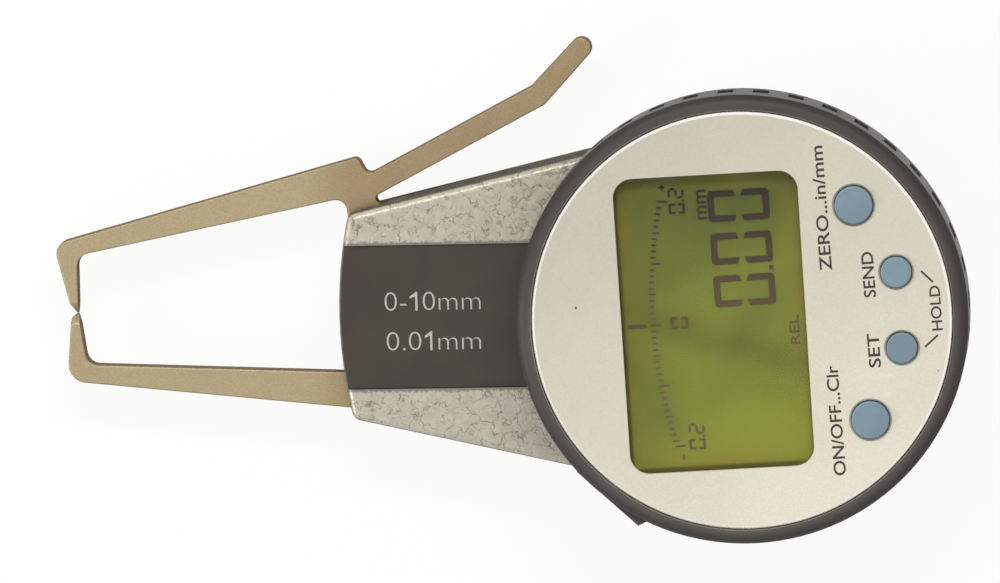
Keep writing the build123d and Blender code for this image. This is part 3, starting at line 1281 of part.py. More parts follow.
with BuildPart() as face_plate:
    with BuildSketch(head_plane(Z_FACE_BACK)):
        Circle(FACE_R)
    extrude(amount=FACE_T)
    chamfer(face_plate.edges().group_by(Axis.Z)[-1], FACE_BEVEL)
    with BuildSketch(head_plane(Z_FACE_BACK)):
        with Locations((0, WINDOW_UP)):
            RectangleRounded(WINDOW_W, WINDOW_H, WINDOW_R)
        for name, angle, radius in KEYS:
            circles([polar((0, 0), KEY_RING_R, angle)], radius + KEY_PLAY)
    extrude(amount=FACE_T, mode=Mode.SUBTRACT)
    with BuildSketch(head_plane(Z_FACE_BACK)):
        with Locations((0, WINDOW_UP)):
            RectangleRounded(WINDOW_W + 2 * LENS_LIP, WINDOW_H + 2 * LENS_LIP, WINDOW_R + LENS_LIP)
    extrude(amount=FACE_T - LENS_LIP, mode=Mode.SUBTRACT)
    for name, angle, radius in KEYS:
        rim = face_plate.faces().sort_by(Axis.Z)[-1].edges().filter_by(GeomType.CIRCLE)
        centre = head_point(polar((0, 0), KEY_RING_R, angle), Z_FACE)
        chamfer(rim.sort_by_distance(centre)[0], KEY_CHAMFER)
face_plate.part.label = "face_plate"
export_step(face_plate.part, "parts/face_plate.step")

with BuildPart() as window:
    with BuildSketch(head_plane(Z_FACE_BACK)):
        with Locations((0, WINDOW_UP)):
            RectangleRounded(
                WINDOW_W + 2 * LENS_LIP - LOCATE, WINDOW_H + 2 * LENS_LIP - LOCATE,
                WINDOW_R + LENS_LIP - LOCATE / 2,
            )
    extrude(amount=FACE_T - LENS_LIP)
window.part.label = "window"
export_step(window.part, "parts/window.step")

with BuildPart() as lcd_panel:
    with BuildSketch(head_plane(Z_LCD)):
        with Locations((0, WINDOW_UP)):
            RectangleRounded(LCD_W, LCD_H, LCD_R)
    extrude(amount=LCD_T)
lcd_panel.part.label = "lcd_panel"
export_step(lcd_panel.part, "parts/lcd_panel.step")

STRIPS = [(0, WINDOW_UP + STRIP_AT), (0, WINDOW_UP - STRIP_AT)]
with BuildPart() as lcd_holder:
    with BuildSketch(head_plane(Z_BOARD_TOP)):
        with Locations((0, WINDOW_UP)):
            RectangleRounded(
                LCD_W + HOLDER_GROWTH, LCD_H + HOLDER_GROWTH, LCD_R + HOLDER_GROWTH
            )
    extrude(amount=Z_FACE_BACK - LOCATE / 2 - Z_BOARD_TOP)
    with BuildSketch(head_plane(Z_LCD)):
        with Locations((0, WINDOW_UP)):
            RectangleRounded(LCD_W + 2 * LOCATE, LCD_H + 2 * LOCATE, LCD_R + LOCATE)
    extrude(amount=LCD_T + LOCATE, mode=Mode.SUBTRACT)
    with BuildSketch(head_plane(Z_BOARD_TOP)):
        with Locations(*STRIPS):
            Rectangle(STRIP_L + LOCATE, STRIP_W + LOCATE)
    extrude(amount=Z_LCD - Z_BOARD_TOP, mode=Mode.SUBTRACT)
    # Room for the connector of the data port
    with BuildSketch(port_plane().offset(-(PORT_COVER_T + PORT_PLUG_T))):
        Rectangle(PORT_HOLE_W, PORT_HOLE_H)
    extrude(amount=-(CONNECTOR_T + LOCATE), mode=Mode.SUBTRACT)
lcd_holder.part.label = "lcd_holder"
export_step(lcd_holder.part, "parts/lcd_holder.step")

with BuildPart() as contact_strips:
    with BuildSketch(head_plane(Z_BOARD_TOP)):
        with Locations(*STRIPS):
            Rectangle(STRIP_L, STRIP_W)
    extrude(amount=Z_LCD - Z_BOARD_TOP)
contact_strips.part.label = "contact_strips"
export_step(contact_strips.part, "parts/contact_strips.step")

with BuildPart() as display_board:
    with BuildSketch(head_plane(Z_BOARD)):
        Circle(DISPLAY_BOARD_R)
        circles(CASE_LUGS, CASE_LUG_R + MOVE_GAP, Mode.SUBTRACT)
        for lug in range(4):
            with Locations(polar((0, 0), DISPLAY_BOARD_R, 90 * lug)):
                Rectangle(
                    2 * (DISPLAY_BOARD_R - CASE_LUG_AT), 2 * (CASE_LUG_R + MOVE_GAP), rotation=90 * lug,
                    mode=Mode.SUBTRACT,
                )
        circles(BOARD_POSTS, SMALL_R + LOCATE, Mode.SUBTRACT)
    extrude(amount=DISPLAY_BOARD_T)
display_board.part.label = "display_board"
export_step(display_board.part, "parts/display_board.step")

board_screw = screw(SMALL_R, DISPLAY_BOARD_T + BITE, SMALL_HEAD_R, SMALL_HEAD_T)
board_screw_down = board_screw.rotate(Axis.X, 180)
with BuildPart() as board_screws:
    with Locations(*[head_point(post, Z_BOARD_TOP + SMALL_HEAD_T) for post in BOARD_POSTS]):
        add(board_screw_down)
board_screws.part.label = "board_screws"
export_step(board_screws.part, "parts/board_screws.step")

with BuildPart() as display_chip:
    with BuildSketch(head_plane(Z_BOARD)):
        with Locations((0, CHIP_W)):
            Rectangle(CHIP_W, CHIP_W)
    extrude(amount=-CHIP_T)
display_chip.part.label = "display_chip"
export_step(display_chip.part, "parts/display_chip.step")

with BuildPart() as display_socket:
    with BuildSketch(Plane.XY.offset(Z_BOARD)):
        Rectangle(DISPLAY_SOCKET_W, FLEX_W + 2 * SOCKET_SIDE)
    extrude(amount=-CHIP_T)
display_socket.part.label = "display_socket"
export_step(display_socket.part, "parts/display_socket.step")

with BuildPart() as data_connector:
    with BuildSketch(port_plane().offset(-(PORT_COVER_T + PORT_PLUG_T))):
        Rectangle(PORT_HOLE_W - 2 * LOCATE, PORT_HOLE_H - 2 * LOCATE)
    extrude(amount=-CONNECTOR_T)
data_connector.part.label = "data_connector"
export_step(data_connector.part, "parts/data_connector.step")

with BuildPart() as port_cover:
    with BuildSketch(port_plane().offset(-PORT_COVER_T)):
        Rectangle(PORT_HOLE_W + 2 * (PORT_LIP - LOCATE), PORT_HOLE_H + 2 * (PORT_LIP - LOCATE))
    extrude(amount=PORT_COVER_T)
    with BuildSketch(port_plane().offset(-PORT_COVER_T)):
        Rectangle(PORT_HOLE_W - 2 * LOCATE, PORT_HOLE_H - 2 * LOCATE)
    extrude(amount=-PORT_PLUG_T)
port_cover.part.label = "port_cover"
export_step(port_cover.part, "parts/port_cover.step")

# Rubber mat with a dome under each key
with BuildPart() as key_mat:
    with BuildSketch(head_plane(Z_BOARD_TOP)):
        Circle(KEY_RING_R + MAT_OUT)
        Circle(KEY_RING_R - MAT_IN, mode=Mode.SUBTRACT)
        reach = 2 * (KEY_RING_R + MAT_OUT)
        with BuildLine():
            Polyline(
                (0, 0), polar((0, 0), reach, KEY_MIDDLE - BIG_KEY_ANGLE - MAT_SPARE),
                polar((0, 0), reach, KEY_MIDDLE + BIG_KEY_ANGLE + MAT_SPARE), close=True,
            )
        make_face(mode=Mode.INTERSECT)
    extrude(amount=MAT_T)
    with BuildSketch(head_plane(Z_BOARD_TOP)):
        for name, angle, radius in KEYS:
            circles([polar((0, 0), KEY_RING_R, angle)], radius - MOVE_GAP)
    extrude(amount=Z_FLANGE - KEY_TRAVEL - LOCATE - Z_BOARD_TOP)
key_mat.part.label = "key_mat"
export_step(key_mat.part, "parts/key_mat.step")

for name, angle, radius in KEYS:
    with BuildPart() as key:
        with BuildSketch(head_plane(Z_FLANGE)):
            circles([polar((0, 0), KEY_RING_R, angle)], radius + KEY_FLANGE)
        extrude(amount=KEY_FLANGE_T)
        with BuildSketch(head_plane(Z_FLANGE)):
            circles([polar((0, 0), KEY_RING_R, angle)], radius)
        extrude(amount=Z_FACE + KEY_PROUD - Z_FLANGE)
        fillet(key.edges().group_by(Axis.Z)[-1], KEY_EDGE_R)
    key.part.label = name
    export_step(key.part, f"parts/{name}.step")
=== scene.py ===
import json
import math

import bpy
import numpy as np
from mathutils import Matrix, Vector


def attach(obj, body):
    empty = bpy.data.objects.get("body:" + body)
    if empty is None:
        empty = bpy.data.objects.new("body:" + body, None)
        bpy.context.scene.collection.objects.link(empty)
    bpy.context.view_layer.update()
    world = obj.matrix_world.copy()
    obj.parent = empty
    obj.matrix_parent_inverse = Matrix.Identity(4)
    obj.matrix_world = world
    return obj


# Digital external caliper gauge: finishes, printed words, display content, light and camera
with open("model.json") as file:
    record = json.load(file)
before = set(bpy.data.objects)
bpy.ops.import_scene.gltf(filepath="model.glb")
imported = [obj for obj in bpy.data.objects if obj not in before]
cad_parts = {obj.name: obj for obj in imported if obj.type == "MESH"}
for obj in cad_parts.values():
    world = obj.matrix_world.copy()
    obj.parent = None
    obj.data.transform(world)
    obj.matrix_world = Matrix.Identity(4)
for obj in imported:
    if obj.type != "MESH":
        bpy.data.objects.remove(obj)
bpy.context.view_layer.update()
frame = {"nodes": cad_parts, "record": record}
nodes = frame["nodes"]
mm = 0.001
print("frame loaded:", len(nodes), "nodes")

# Node tree helpers


def addNode(tree, kind, x=0, y=0, **settings):
    # One shader node with its properties set and its place in the editor
    node = tree.nodes.new(kind)
    node.location = (x, y)
    for key, value in settings.items():
        setattr(node, key, value)
    return node


def feed(tree, source, target):
    # A link from a socket, or a fixed value, into a socket
    if isinstance(source, bpy.types.NodeSocket):
        tree.links.new(source, target)
    else:
        target.default_value = source


def maths(tree, operation, first, second=0.0, clamp=False):
    # One arithmetic step on two values
    node = addNode(tree, "ShaderNodeMath", operation=operation, use_clamp=clamp)
    feed(tree, first, node.inputs[0])
    feed(tree, second, node.inputs[1])
    return node.outputs[0]


def spread(tree, value, low, high, toLow=0.0, toHigh=1.0, smooth=False):
    # A value's range low..high carried over to toLow..toHigh and held there
    kind = "SMOOTHSTEP" if smooth else "LINEAR"
    node = addNode(tree, "ShaderNodeMapRange", interpolation_type=kind)
    feed(tree, value, node.inputs["Value"])
    node.inputs["From Min"].default_value = low
    node.inputs["From Max"].default_value = high
    feed(tree, toLow, node.inputs["To Min"])
    feed(tree, toHigh, node.inputs["To Max"])
    return node.outputs["Result"]


def blendColours(tree, share, first, second, mode="MIX"):
    # Two colours mixed by a share from 0 to 1
    node = addNode(tree, "ShaderNodeMix", data_type="RGBA", blend_type=mode)
    feed(tree, share, node.inputs[0])
    feed(tree, first, node.inputs[6])
    feed(tree, second, node.inputs[7])
    return node.outputs[2]


def objectMillimetres(tree, turn=0.0, centre=(0, 0, 0), stretch=(1, 1, 1)):
    # Object coordinates in millimetres, moved to a centre, turned about Z and stretched
    place = addNode(tree, "ShaderNodeTexCoord").outputs["Object"]
    mapping = addNode(tree, "ShaderNodeMapping", vector_type="TEXTURE")
    feed(tree, place, mapping.inputs["Vector"])
    mapping.inputs["Location"].default_value = [value * mm for value in centre]
    mapping.inputs["Rotation"].default_value = (0, 0, math.radians(turn))
    mapping.inputs["Scale"].default_value = [mm * value for value in stretch]
    return mapping.outputs["Vector"]


def noise(tree, vector, scale, detail=2.0, rough=0.5, distortion=0.0):
    # Cloud noise from 0 to 1, with scale in waves to the millimetre
    node = addNode(tree, "ShaderNodeTexNoise")
    feed(tree, vector, node.inputs["Vector"])
    feed(tree, scale, node.inputs["Scale"])
    feed(tree, detail, node.inputs["Detail"])
    feed(tree, rough, node.inputs["Roughness"])
    feed(tree, distortion, node.inputs["Distortion"])
    return node.outputs["Fac"]


def splitAxes(tree, vector):
    # The three coordinates of a vector
    node = addNode(tree, "ShaderNodeSeparateXYZ")
    feed(tree, vector, node.inputs[0])
    return node.outputs["X"], node.outputs["Y"], node.outputs["Z"]


def radiusFrom(tree, vector):
    # Distance from the Z axis: the length of the vector laid flat
    flat = addNode(tree, "ShaderNodeVectorMath", operation="MULTIPLY")
    feed(tree, vector, flat.inputs[0])
    flat.inputs[1].default_value = (1, 1, 0)
    length = addNode(tree, "ShaderNodeVectorMath", operation="LENGTH")
    feed(tree, flat.outputs["Vector"], length.inputs[0])
    return length.outputs["Value"]


def startGroup(name, inputs, outputs):
    # A node group with named inputs (name, kind, default) and outputs (name, kind)
    tree = bpy.data.node_groups.new(name, "ShaderNodeTree")
    for label, kind, value in inputs:
        socket = tree.interface.new_socket(name=label, in_out="INPUT", socket_type=kind)
        if value is not None:
            socket.default_value = value
    for label, kind in outputs:
        tree.interface.new_socket(name=label, in_out="OUTPUT", socket_type=kind)
    return tree, addNode(tree, "NodeGroupInput", -800), addNode(tree, "NodeGroupOutput", 600)


def useGroup(tree, group, **values):
    # One use of a shared group, with its inputs fed by name
    node = addNode(tree, "ShaderNodeGroup", node_tree=group)
    for label, value in values.items():
        feed(tree, value, node.inputs[label])
    return node


def makeFineGrain():
    # Grain: noise at one scale plus a third of noise at five times that scale
    floats = "NodeSocketFloat"
    tree, start, end = startGroup(
        "fineGrain",
        [("Vector", "NodeSocketVector", None), ("Scale", floats, 4.0), ("Fine", floats, 0.33)],
        [("Grain", floats)],
    )
    coarse = noise(tree, start.outputs["Vector"], start.outputs["Scale"], 3.0)
    finer = maths(tree, "MULTIPLY", start.outputs["Scale"], 5.0)
    fine = noise(tree, start.outputs["Vector"], finer, 2.0)
    share = maths(tree, "MULTIPLY", maths(tree, "SUBTRACT", fine, 0.5), start.outputs["Fine"])
    feed(tree, maths(tree, "ADD", coarse, share, clamp=True), end.inputs["Grain"])
    return tree


def makeHandling():
    # Handling: broad clouds that make a finish a little duller or brighter in patches
    floats = "NodeSocketFloat"
    tree, start, end = startGroup(
        "handlingPatches",
        [("Vector", "NodeSocketVector", None), ("Scale", floats, 0.1), ("Least", floats, 0.0),
         ("Most", floats, 1.0)],
        [("Patches", floats)],
    )
    cloud = noise(tree, start.outputs["Vector"], start.outputs["Scale"], 4.0, 0.55, 0.4)
    patches = spread(
        tree, cloud, 0.3, 0.7, start.outputs["Least"], start.outputs["Most"], smooth=True
    )
    feed(tree, patches, end.inputs["Patches"])
    return tree


def makeSpeck():
    # Speck: 1 within a radius of a place, seen along Z, falling softly to 0
    floats = "NodeSocketFloat"
    tree, start, end = startGroup(
        "speck",
        [("Vector", "NodeSocketVector", None), ("Place", "NodeSocketVector", None),
         ("Radius", floats, 0.2)],
        [("Speck", floats)],
    )
    apart = addNode(tree, "ShaderNodeVectorMath", operation="SUBTRACT")
    feed(tree, start.outputs["Vector"], apart.inputs[0])
    feed(tree, start.outputs["Place"], apart.inputs[1])
    ragged = maths(tree, "MULTIPLY", noise(tree, start.outputs["Vector"], 5.0, 2.0), 0.8)
    reach = maths(tree, "MULTIPLY", start.outputs["Radius"], maths(tree, "ADD", ragged, 0.6))
    ratio = maths(tree, "DIVIDE", radiusFrom(tree, apart.outputs["Vector"]), reach)
    feed(tree, spread(tree, ratio, 0.75, 1.15, 1.0, 0.0, smooth=True), end.inputs["Speck"])
    return tree


fineGrain = makeFineGrain()
handlingPatches = makeHandling()
speckGroup = makeSpeck()
print("shared node groups made")

# Finishes


def startMaterial(name, colour, metallic, roughness, **sockets):
    # A material with one Principled shader whose fixed values sit on its own sockets
    material = bpy.data.materials.new(name)
    material.use_nodes = True
    tree = material.node_tree
    shader = tree.nodes["Principled BSDF"]
    shader.inputs["Base Color"].default_value = (*colour, 1)
    shader.inputs["Metallic"].default_value = metallic
    shader.inputs["Roughness"].default_value = roughness
    for label, value in sockets.items():
        shader.inputs[label.replace("_", " ")].default_value = value
    return material, tree, shader


def bumpFrom(tree, shader, height, depth, earlier=None):
    # A bump of a depth in millimetres from a height of 0 to 1
    bump = addNode(tree, "ShaderNodeBump")
    bump.inputs["Distance"].default_value = depth * mm
    feed(tree, height, bump.inputs["Height"])
    if earlier is not None:
        feed(tree, earlier, bump.inputs["Normal"])
    feed(tree, bump.outputs["Normal"], shader.inputs["Normal"])
    return bump.outputs["Normal"]


hammertone = {
    "body": (0.56, 0.525, 0.42),
    "shade": (0.44, 0.405, 0.32),
    "vein": (0.07, 0.058, 0.045),
    "cell": 0.36,  # cells to the millimetre
    "veinWidth": 0.042,
    "veinShare": 0.72,
    "thin": (2.3, 1.9),  # scale and width of the thin veins against the wide ones
    "wideBreaks": (0.41, 0.56),  # noise range in which the wide veins break up
    "thinBreaks": (0.50, 0.62),
    "bends": (0.42, 4.2),  # bends to the millimetre, and their reach in millimetres
    "cloud": 0.7,
    "relief": 0.03,
    "aslant": 0.32,  # what is left of the tone where the paint is seen edge-on, a painted shade on the side walls
    "labelEdge": 9.7,
    "labelRim": (-0.3, 0.05),  # where the painted shade along the label recess starts and ends
    "headR": 30.0,
    "headReach": (1.0, 13.0),  # how far from the display the paint has more veins and a painted shadow of the head
    "metallic": 0.3,
    "roughness": 0.42,
    "coat": 0.9,
}


def veinsOf(tree, vector, scale, width):
    # 1 on the borders between cells, falling softly to 0 within a width
    cells = addNode(tree, "ShaderNodeTexVoronoi", feature="DISTANCE_TO_EDGE")
    feed(tree, vector, cells.inputs["Vector"])
    cells.inputs["Scale"].default_value = scale
    return spread(tree, cells.outputs["Distance"], 0.0, width, 1.0, 0.0, True), cells


def hammertonePaint():
    # Paint flakes under a clear coat: warped cells whose borders show as thin broken veins, more of
    # them by the display, and painted shade by the display, along the label recess and on the side
    # walls
    material, tree, shader = startMaterial(
        "hammertonePaint", hammertone["body"], hammertone["metallic"], hammertone["roughness"],
        Coat_Roughness=0.15,
    )
    place = objectMillimetres(tree)
    up = splitAxes(tree, place)[1]
    start, end = [hammertone["headR"] + reach for reach in hammertone["headReach"]]
    nearHead = spread(tree, radiusFrom(tree, place), start, end, 1.0, 0.0)
    bends, reach = hammertone["bends"]
    warp = addNode(tree, "ShaderNodeTexNoise")
    feed(tree, place, warp.inputs["Vector"])
    warp.inputs["Scale"].default_value = bends
    warp.inputs["Detail"].default_value = 4.5
    warp.inputs["Roughness"].default_value = 0.5
    shift = addNode(tree, "ShaderNodeVectorMath", operation="MULTIPLY_ADD")
    feed(tree, warp.outputs["Color"], shift.inputs[0])
    shift.inputs[1].default_value = (reach, reach, reach)
    feed(tree, place, shift.inputs[2])
    warped = shift.outputs["Vector"]
    cell, width = hammertone["cell"], hammertone["veinWidth"]
    finer, softer = hammertone["thin"]
    wide, cells = veinsOf(tree, warped, cell, width)
    thin = veinsOf(tree, warped, cell * finer, width * softer)[0]
    more = maths(tree, "MULTIPLY", nearHead, 0.06)
    breaks = maths(tree, "ADD", noise(tree, place, 0.8, 3.0, 0.6), more)
    wideLeft = maths(
        tree, "MULTIPLY", wide, spread(tree, breaks, *hammertone["wideBreaks"], 0.0, 1.0, True)
    )
    thinLeft = maths(
        tree, "MULTIPLY", thin, spread(tree, breaks, *hammertone["thinBreaks"], 0.0, 0.75, True)
    )
    vein = maths(
        tree, "MULTIPLY", maths(tree, "MAXIMUM", wideLeft, thinLeft), hammertone["veinShare"]
    )
    cloud = spread(tree, noise(tree, place, hammertone["cloud"], 6.0, 0.7, 0.6), 0.33, 0.62)
    # painted shadow of the display head: the paint is darker near it
    lift = maths(tree, "SUBTRACT", cloud, maths(tree, "MULTIPLY", nearHead, 0.35), clamp=True)
    tone = blendColours(tree, lift, (*hammertone["shade"], 1), (*hammertone["body"], 1))
    tone = blendColours(tree, vein, tone, (*hammertone["vein"], 1))
    # painted shade: a dark ragged rim along the edge of the label recess
    fromLabel = maths(tree, "SUBTRACT", maths(tree, "ABSOLUTE", up), hammertone["labelEdge"])
    ragged = maths(tree, "SUBTRACT", fromLabel, noise(tree, place, 2.2, 3.0))
    rim = spread(tree, ragged, *hammertone["labelRim"], 0.85, 0.0, True)
    tone = blendColours(tree, rim, tone, (*[value * 0.35 for value in hammertone["shade"]], 1))
    # painted shade: the tone darkens where the paint is seen aslant, which dims the side walls
    facing = addNode(tree, "ShaderNodeLayerWeight").outputs["Facing"]
    paintedSideShade = spread(tree, facing, 0.3, 0.8, 1.0, hammertone["aslant"], True)
    feed(tree, blendColours(tree, 1.0, tone, paintedSideShade, "MULTIPLY"), shader.inputs["Base Color"])
    gloss = spread(tree, facing, 0.45, 0.75, 1.0, 0.0, True)
    feed(tree, maths(tree, "MULTIPLY", gloss, hammertone["metallic"]), shader.inputs["Metallic"])
    feed(tree, maths(tree, "MULTIPLY", gloss, hammertone["coat"]), shader.inputs["Coat Weight"])
    feed(tree, spread(tree, gloss, 0.0, 1.0, 0.0, 0.5), shader.inputs["Specular IOR Level"])
    feed(tree, spread(tree, cloud, 0.0, 1.0, 0.5, 0.36), shader.inputs["Roughness"])
    domes = spread(tree, cells.outputs["Distance"], 0.0, 0.35, 0.0, 1.0, True)
    first = bumpFrom(tree, shader, domes, hammertone["relief"])
    skin = useGroup(tree, fineGrain, Vector=place, Scale=1.6, Fine=0.4).outputs["Grain"]
    second = bumpFrom(tree, shader, skin, hammertone["relief"], first)
    feed(tree, second, shader.inputs["Coat Normal"])
    return material


armSteel = {
    "colour": (0.425, 0.342, 0.21),
    "tint": (0.31, 0.225, 0.13),  # brownish where it enters the housing
    # dark colour of the pit and of the painted shade along the edges
    "edge": (0.028, 0.018, 0.012),
    "wall": (0.23, 0.17, 0.105),
    "edgeWidth": 0.4,
    "edgeShare": 0.65,
    "tintFrom": (-57.0, -50.0),  # along X, where the tint starts and where it is full
    "roughness": 0.4,
    "pit": ((-53.35, 20.79, 0), 0.13),
}


def temperedSteel():
    # Tempered sheet: fine grain, a browner tint near the housing, oxide-brown cut walls and dark
    # edges of painted shade, found where the rounded normal leaves the plain one
    material, tree, shader = startMaterial(
        "temperedSteel", armSteel["colour"], 1.0, armSteel["roughness"]
    )
    place = objectMillimetres(tree)
    grain = useGroup(tree, fineGrain, Vector=place, Scale=4.5, Fine=0.9).outputs["Grain"]
    across = splitAxes(tree, place)[0]
    clouds = noise(tree, place, 0.25, 3.0)
    drift = maths(tree, "ADD", across, maths(tree, "MULTIPLY", clouds, 5.0))
    tinted = spread(tree, drift, *armSteel["tintFrom"], 0.0, 0.7)
    tone = blendColours(tree, tinted, (*armSteel["colour"], 1), (*armSteel["tint"], 1))
    shade = maths(tree, "MULTIPLY", spread(tree, grain, 0.25, 0.75, 0.87, 1.13),
                  spread(tree, clouds, 0.3, 0.7, 0.975, 1.025))
    tone = blendColours(tree, 1.0, tone, shade, "MULTIPLY")
    spot, radius = armSteel["pit"]
    pit = useGroup(tree, speckGroup, Vector=place, Place=spot, Radius=radius).outputs["Speck"]
    tone = blendColours(tree, pit, tone, (*armSteel["edge"], 1))
    rounded = addNode(tree, "ShaderNodeBevel", samples=6)
    rounded.inputs["Radius"].default_value = armSteel["edgeWidth"] * mm
    plain = addNode(tree, "ShaderNodeNewGeometry").outputs["True Normal"]
    upward = maths(tree, "ABSOLUTE", splitAxes(tree, plain)[2])
    cut = spread(tree, upward, 0.3, 0.7, 1.0, 0.0)
    tone = blendColours(tree, cut, tone, (*armSteel["wall"], 1))
    apart = addNode(tree, "ShaderNodeVectorMath", operation="DOT_PRODUCT")
    feed(tree, rounded.outputs["Normal"], apart.inputs[0])
    feed(tree, plain, apart.inputs[1])
    # painted shade: the rounded edges are darkened
    edge = spread(tree, apart.outputs["Value"], 0.8, 0.95, armSteel["edgeShare"], 0.0, True)
    tone = blendColours(tree, edge, tone, (*armSteel["edge"], 1))
    feed(tree, tone, shader.inputs["Base Color"])
    bare = spread(tree, upward, 0.3, 0.7, 0.0, 1.0)
    feed(tree, bare, shader.inputs["Metallic"])
    feed(tree, spread(tree, bare, 0.0, 1.0, 0.0, 0.5), shader.inputs["Specular IOR Level"])
    feed(tree, spread(tree, grain, 0.3, 0.7, 0.36, 0.46), shader.inputs["Roughness"])
    bumpFrom(tree, shader, grain, 0.003, rounded.outputs["Normal"])
    return material


def groundSteel(name, colour, roughness, lines, turn=0.0):
    # Satin metal: fine lines along one direction change its colour, gloss and relief
    material, tree, shader = startMaterial(name, colour, 1.0, roughness)
    place = objectMillimetres(tree)
    along = objectMillimetres(tree, turn, (0, 0, 0), (lines, 1.0, 1.0))
    brushed = useGroup(tree, fineGrain, Vector=along, Scale=3.0, Fine=0.5).outputs["Grain"]
    patches = useGroup(
        tree, handlingPatches, Vector=place, Scale=0.16, Least=0.86, Most=1.06
    ).outputs["Patches"]
    shade = maths(tree, "MULTIPLY", spread(tree, brushed, 0.3, 0.7, 0.93, 1.05), patches)
    feed(tree, blendColours(tree, 1.0, (*colour, 1), shade, "MULTIPLY"), shader.inputs["Base Color"])
    feed(tree, spread(tree, brushed, 0.3, 0.7, roughness * 0.85, roughness * 1.2),
         shader.inputs["Roughness"])
    bumpFrom(tree, shader, brushed, 0.004)
    return material


def mouldedPlastic(name, colour, roughness, grain=3.0, depth=0.006):
    # Moulded plastic: fine grain in relief, and slightly duller patches from handling
    material, tree, shader = startMaterial(name, colour, 0.0, roughness)
    place = objectMillimetres(tree)
    texture = useGroup(tree, fineGrain, Vector=place, Scale=grain, Fine=0.5).outputs["Grain"]
    patches = useGroup(
        tree, handlingPatches, Vector=place, Scale=0.12, Least=0.9, Most=1.1
    ).outputs["Patches"]
    shade = maths(tree, "MULTIPLY", spread(tree, texture, 0.3, 0.7, 0.94, 1.06), patches)
    feed(tree, blendColours(tree, 1.0, (*colour, 1), shade, "MULTIPLY"), shader.inputs["Base Color"])
    feed(tree, maths(tree, "MULTIPLY", patches, roughness), shader.inputs["Roughness"])
    bumpFrom(tree, shader, texture, depth)
    return material


bezelSkin = {
    "colour": (0.070, 0.063, 0.056),
    "roughness": 0.44,
    "crown": (18.12, 28.0, 29.8),  # its foot, and where its painted light and shade starts and ends
    # painted light and shade: the crown is lighter by the face and darker on its outer slope
    "toneIn": 1.5,
    "toneOut": 0.6,
    "lip": (28.05, 28.25, 3.2),  # painted light on the shaded inner wall beside the face: lighter by this factor
    "paintedLightSlope": (0.96, -0.005),  # tone at the axis, and its rise for each millimetre along Y: painted shade towards +Y
    "mark": ((13.3, 27.05, 0), 0.3),
    "markColour": (0.012, 0.011, 0.010),
}


def bezelPlastic():
    # Moulded case: grained, with painted light on its inner wall and painted shade on a crown that
    # darkens outwards and towards +Y
    material, tree, shader = startMaterial(
        "bezelPlastic", bezelSkin["colour"], 0.0, bezelSkin["roughness"], Specular_IOR_Level=0.22
    )
    place = objectMillimetres(tree)
    foot, start, end = bezelSkin["crown"]
    up, level = splitAxes(tree, place)[1:]
    radius = radiusFrom(tree, place)
    # painted shade: the crown darkens outwards over its steeper slope
    fall = spread(tree, radius, start, end, bezelSkin["toneIn"], bezelSkin["toneOut"], True)
    # painted light on the inner wall beside the face, which lies in shade
    near, far, lighter = bezelSkin["lip"]
    tone = maths(tree, "MAXIMUM", fall, spread(tree, radius, near, far, lighter, 0.0))
    onCrown = maths(tree, "GREATER_THAN", level, foot)
    raised = maths(tree, "MULTIPLY", onCrown, maths(tree, "SUBTRACT", tone, 1.0))
    grain = useGroup(tree, fineGrain, Vector=place, Scale=4.0, Fine=0.7).outputs["Grain"]
    patches = useGroup(
        tree, handlingPatches, Vector=place, Scale=0.12, Least=0.92, Most=1.08
    ).outputs["Patches"]
    shade = maths(tree, "MULTIPLY", spread(tree, grain, 0.3, 0.7, 0.92, 1.08), patches)
    shade = maths(tree, "MULTIPLY", shade, maths(tree, "ADD", raised, 1.0))
    # painted light and shade: the tone falls towards +Y
    middle, rise = bezelSkin["paintedLightSlope"]
    drift = maths(tree, "ADD", maths(tree, "MULTIPLY", up, rise), middle)
    shade = maths(tree, "MULTIPLY", shade, drift)
    tinted = blendColours(tree, 1.0, (*bezelSkin["colour"], 1), shade, "MULTIPLY")
    spot, reach = bezelSkin["mark"]
    mark = useGroup(tree, speckGroup, Vector=place, Place=spot, Radius=reach).outputs["Speck"]
    tinted = blendColours(tree, mark, tinted, (*bezelSkin["markColour"], 1))
    feed(tree, tinted, shader.inputs["Base Color"])
    matt = maths(tree, "MULTIPLY", patches, bezelSkin["roughness"])
    feed(tree, matt, shader.inputs["Roughness"])
    bumpFrom(tree, shader, grain, 0.006)
    return material


facePaint = {
    "colour": (0.69, 0.65, 0.535),
    "metallic": 0.25,
    "roughness": 0.42,
    "polish": (0.95, 0.92, 0.86),  # turned bare on the bevel of the rim
    "polishFrom": 27.0,
    "paintedLightSlope": (1.045, 0.0030, -0.0053),  # tone at the axis, its rise for each mm along X and Y: painted light to the lower right
    "speck": ((-21.9, 2.11, 0), 0.19, 0.9),  # place, radius, strength
    "scratch": ((25.9, -7.0, 0), 0.14, 0.45),
    "markColour": (0.09, 0.07, 0.05),
}


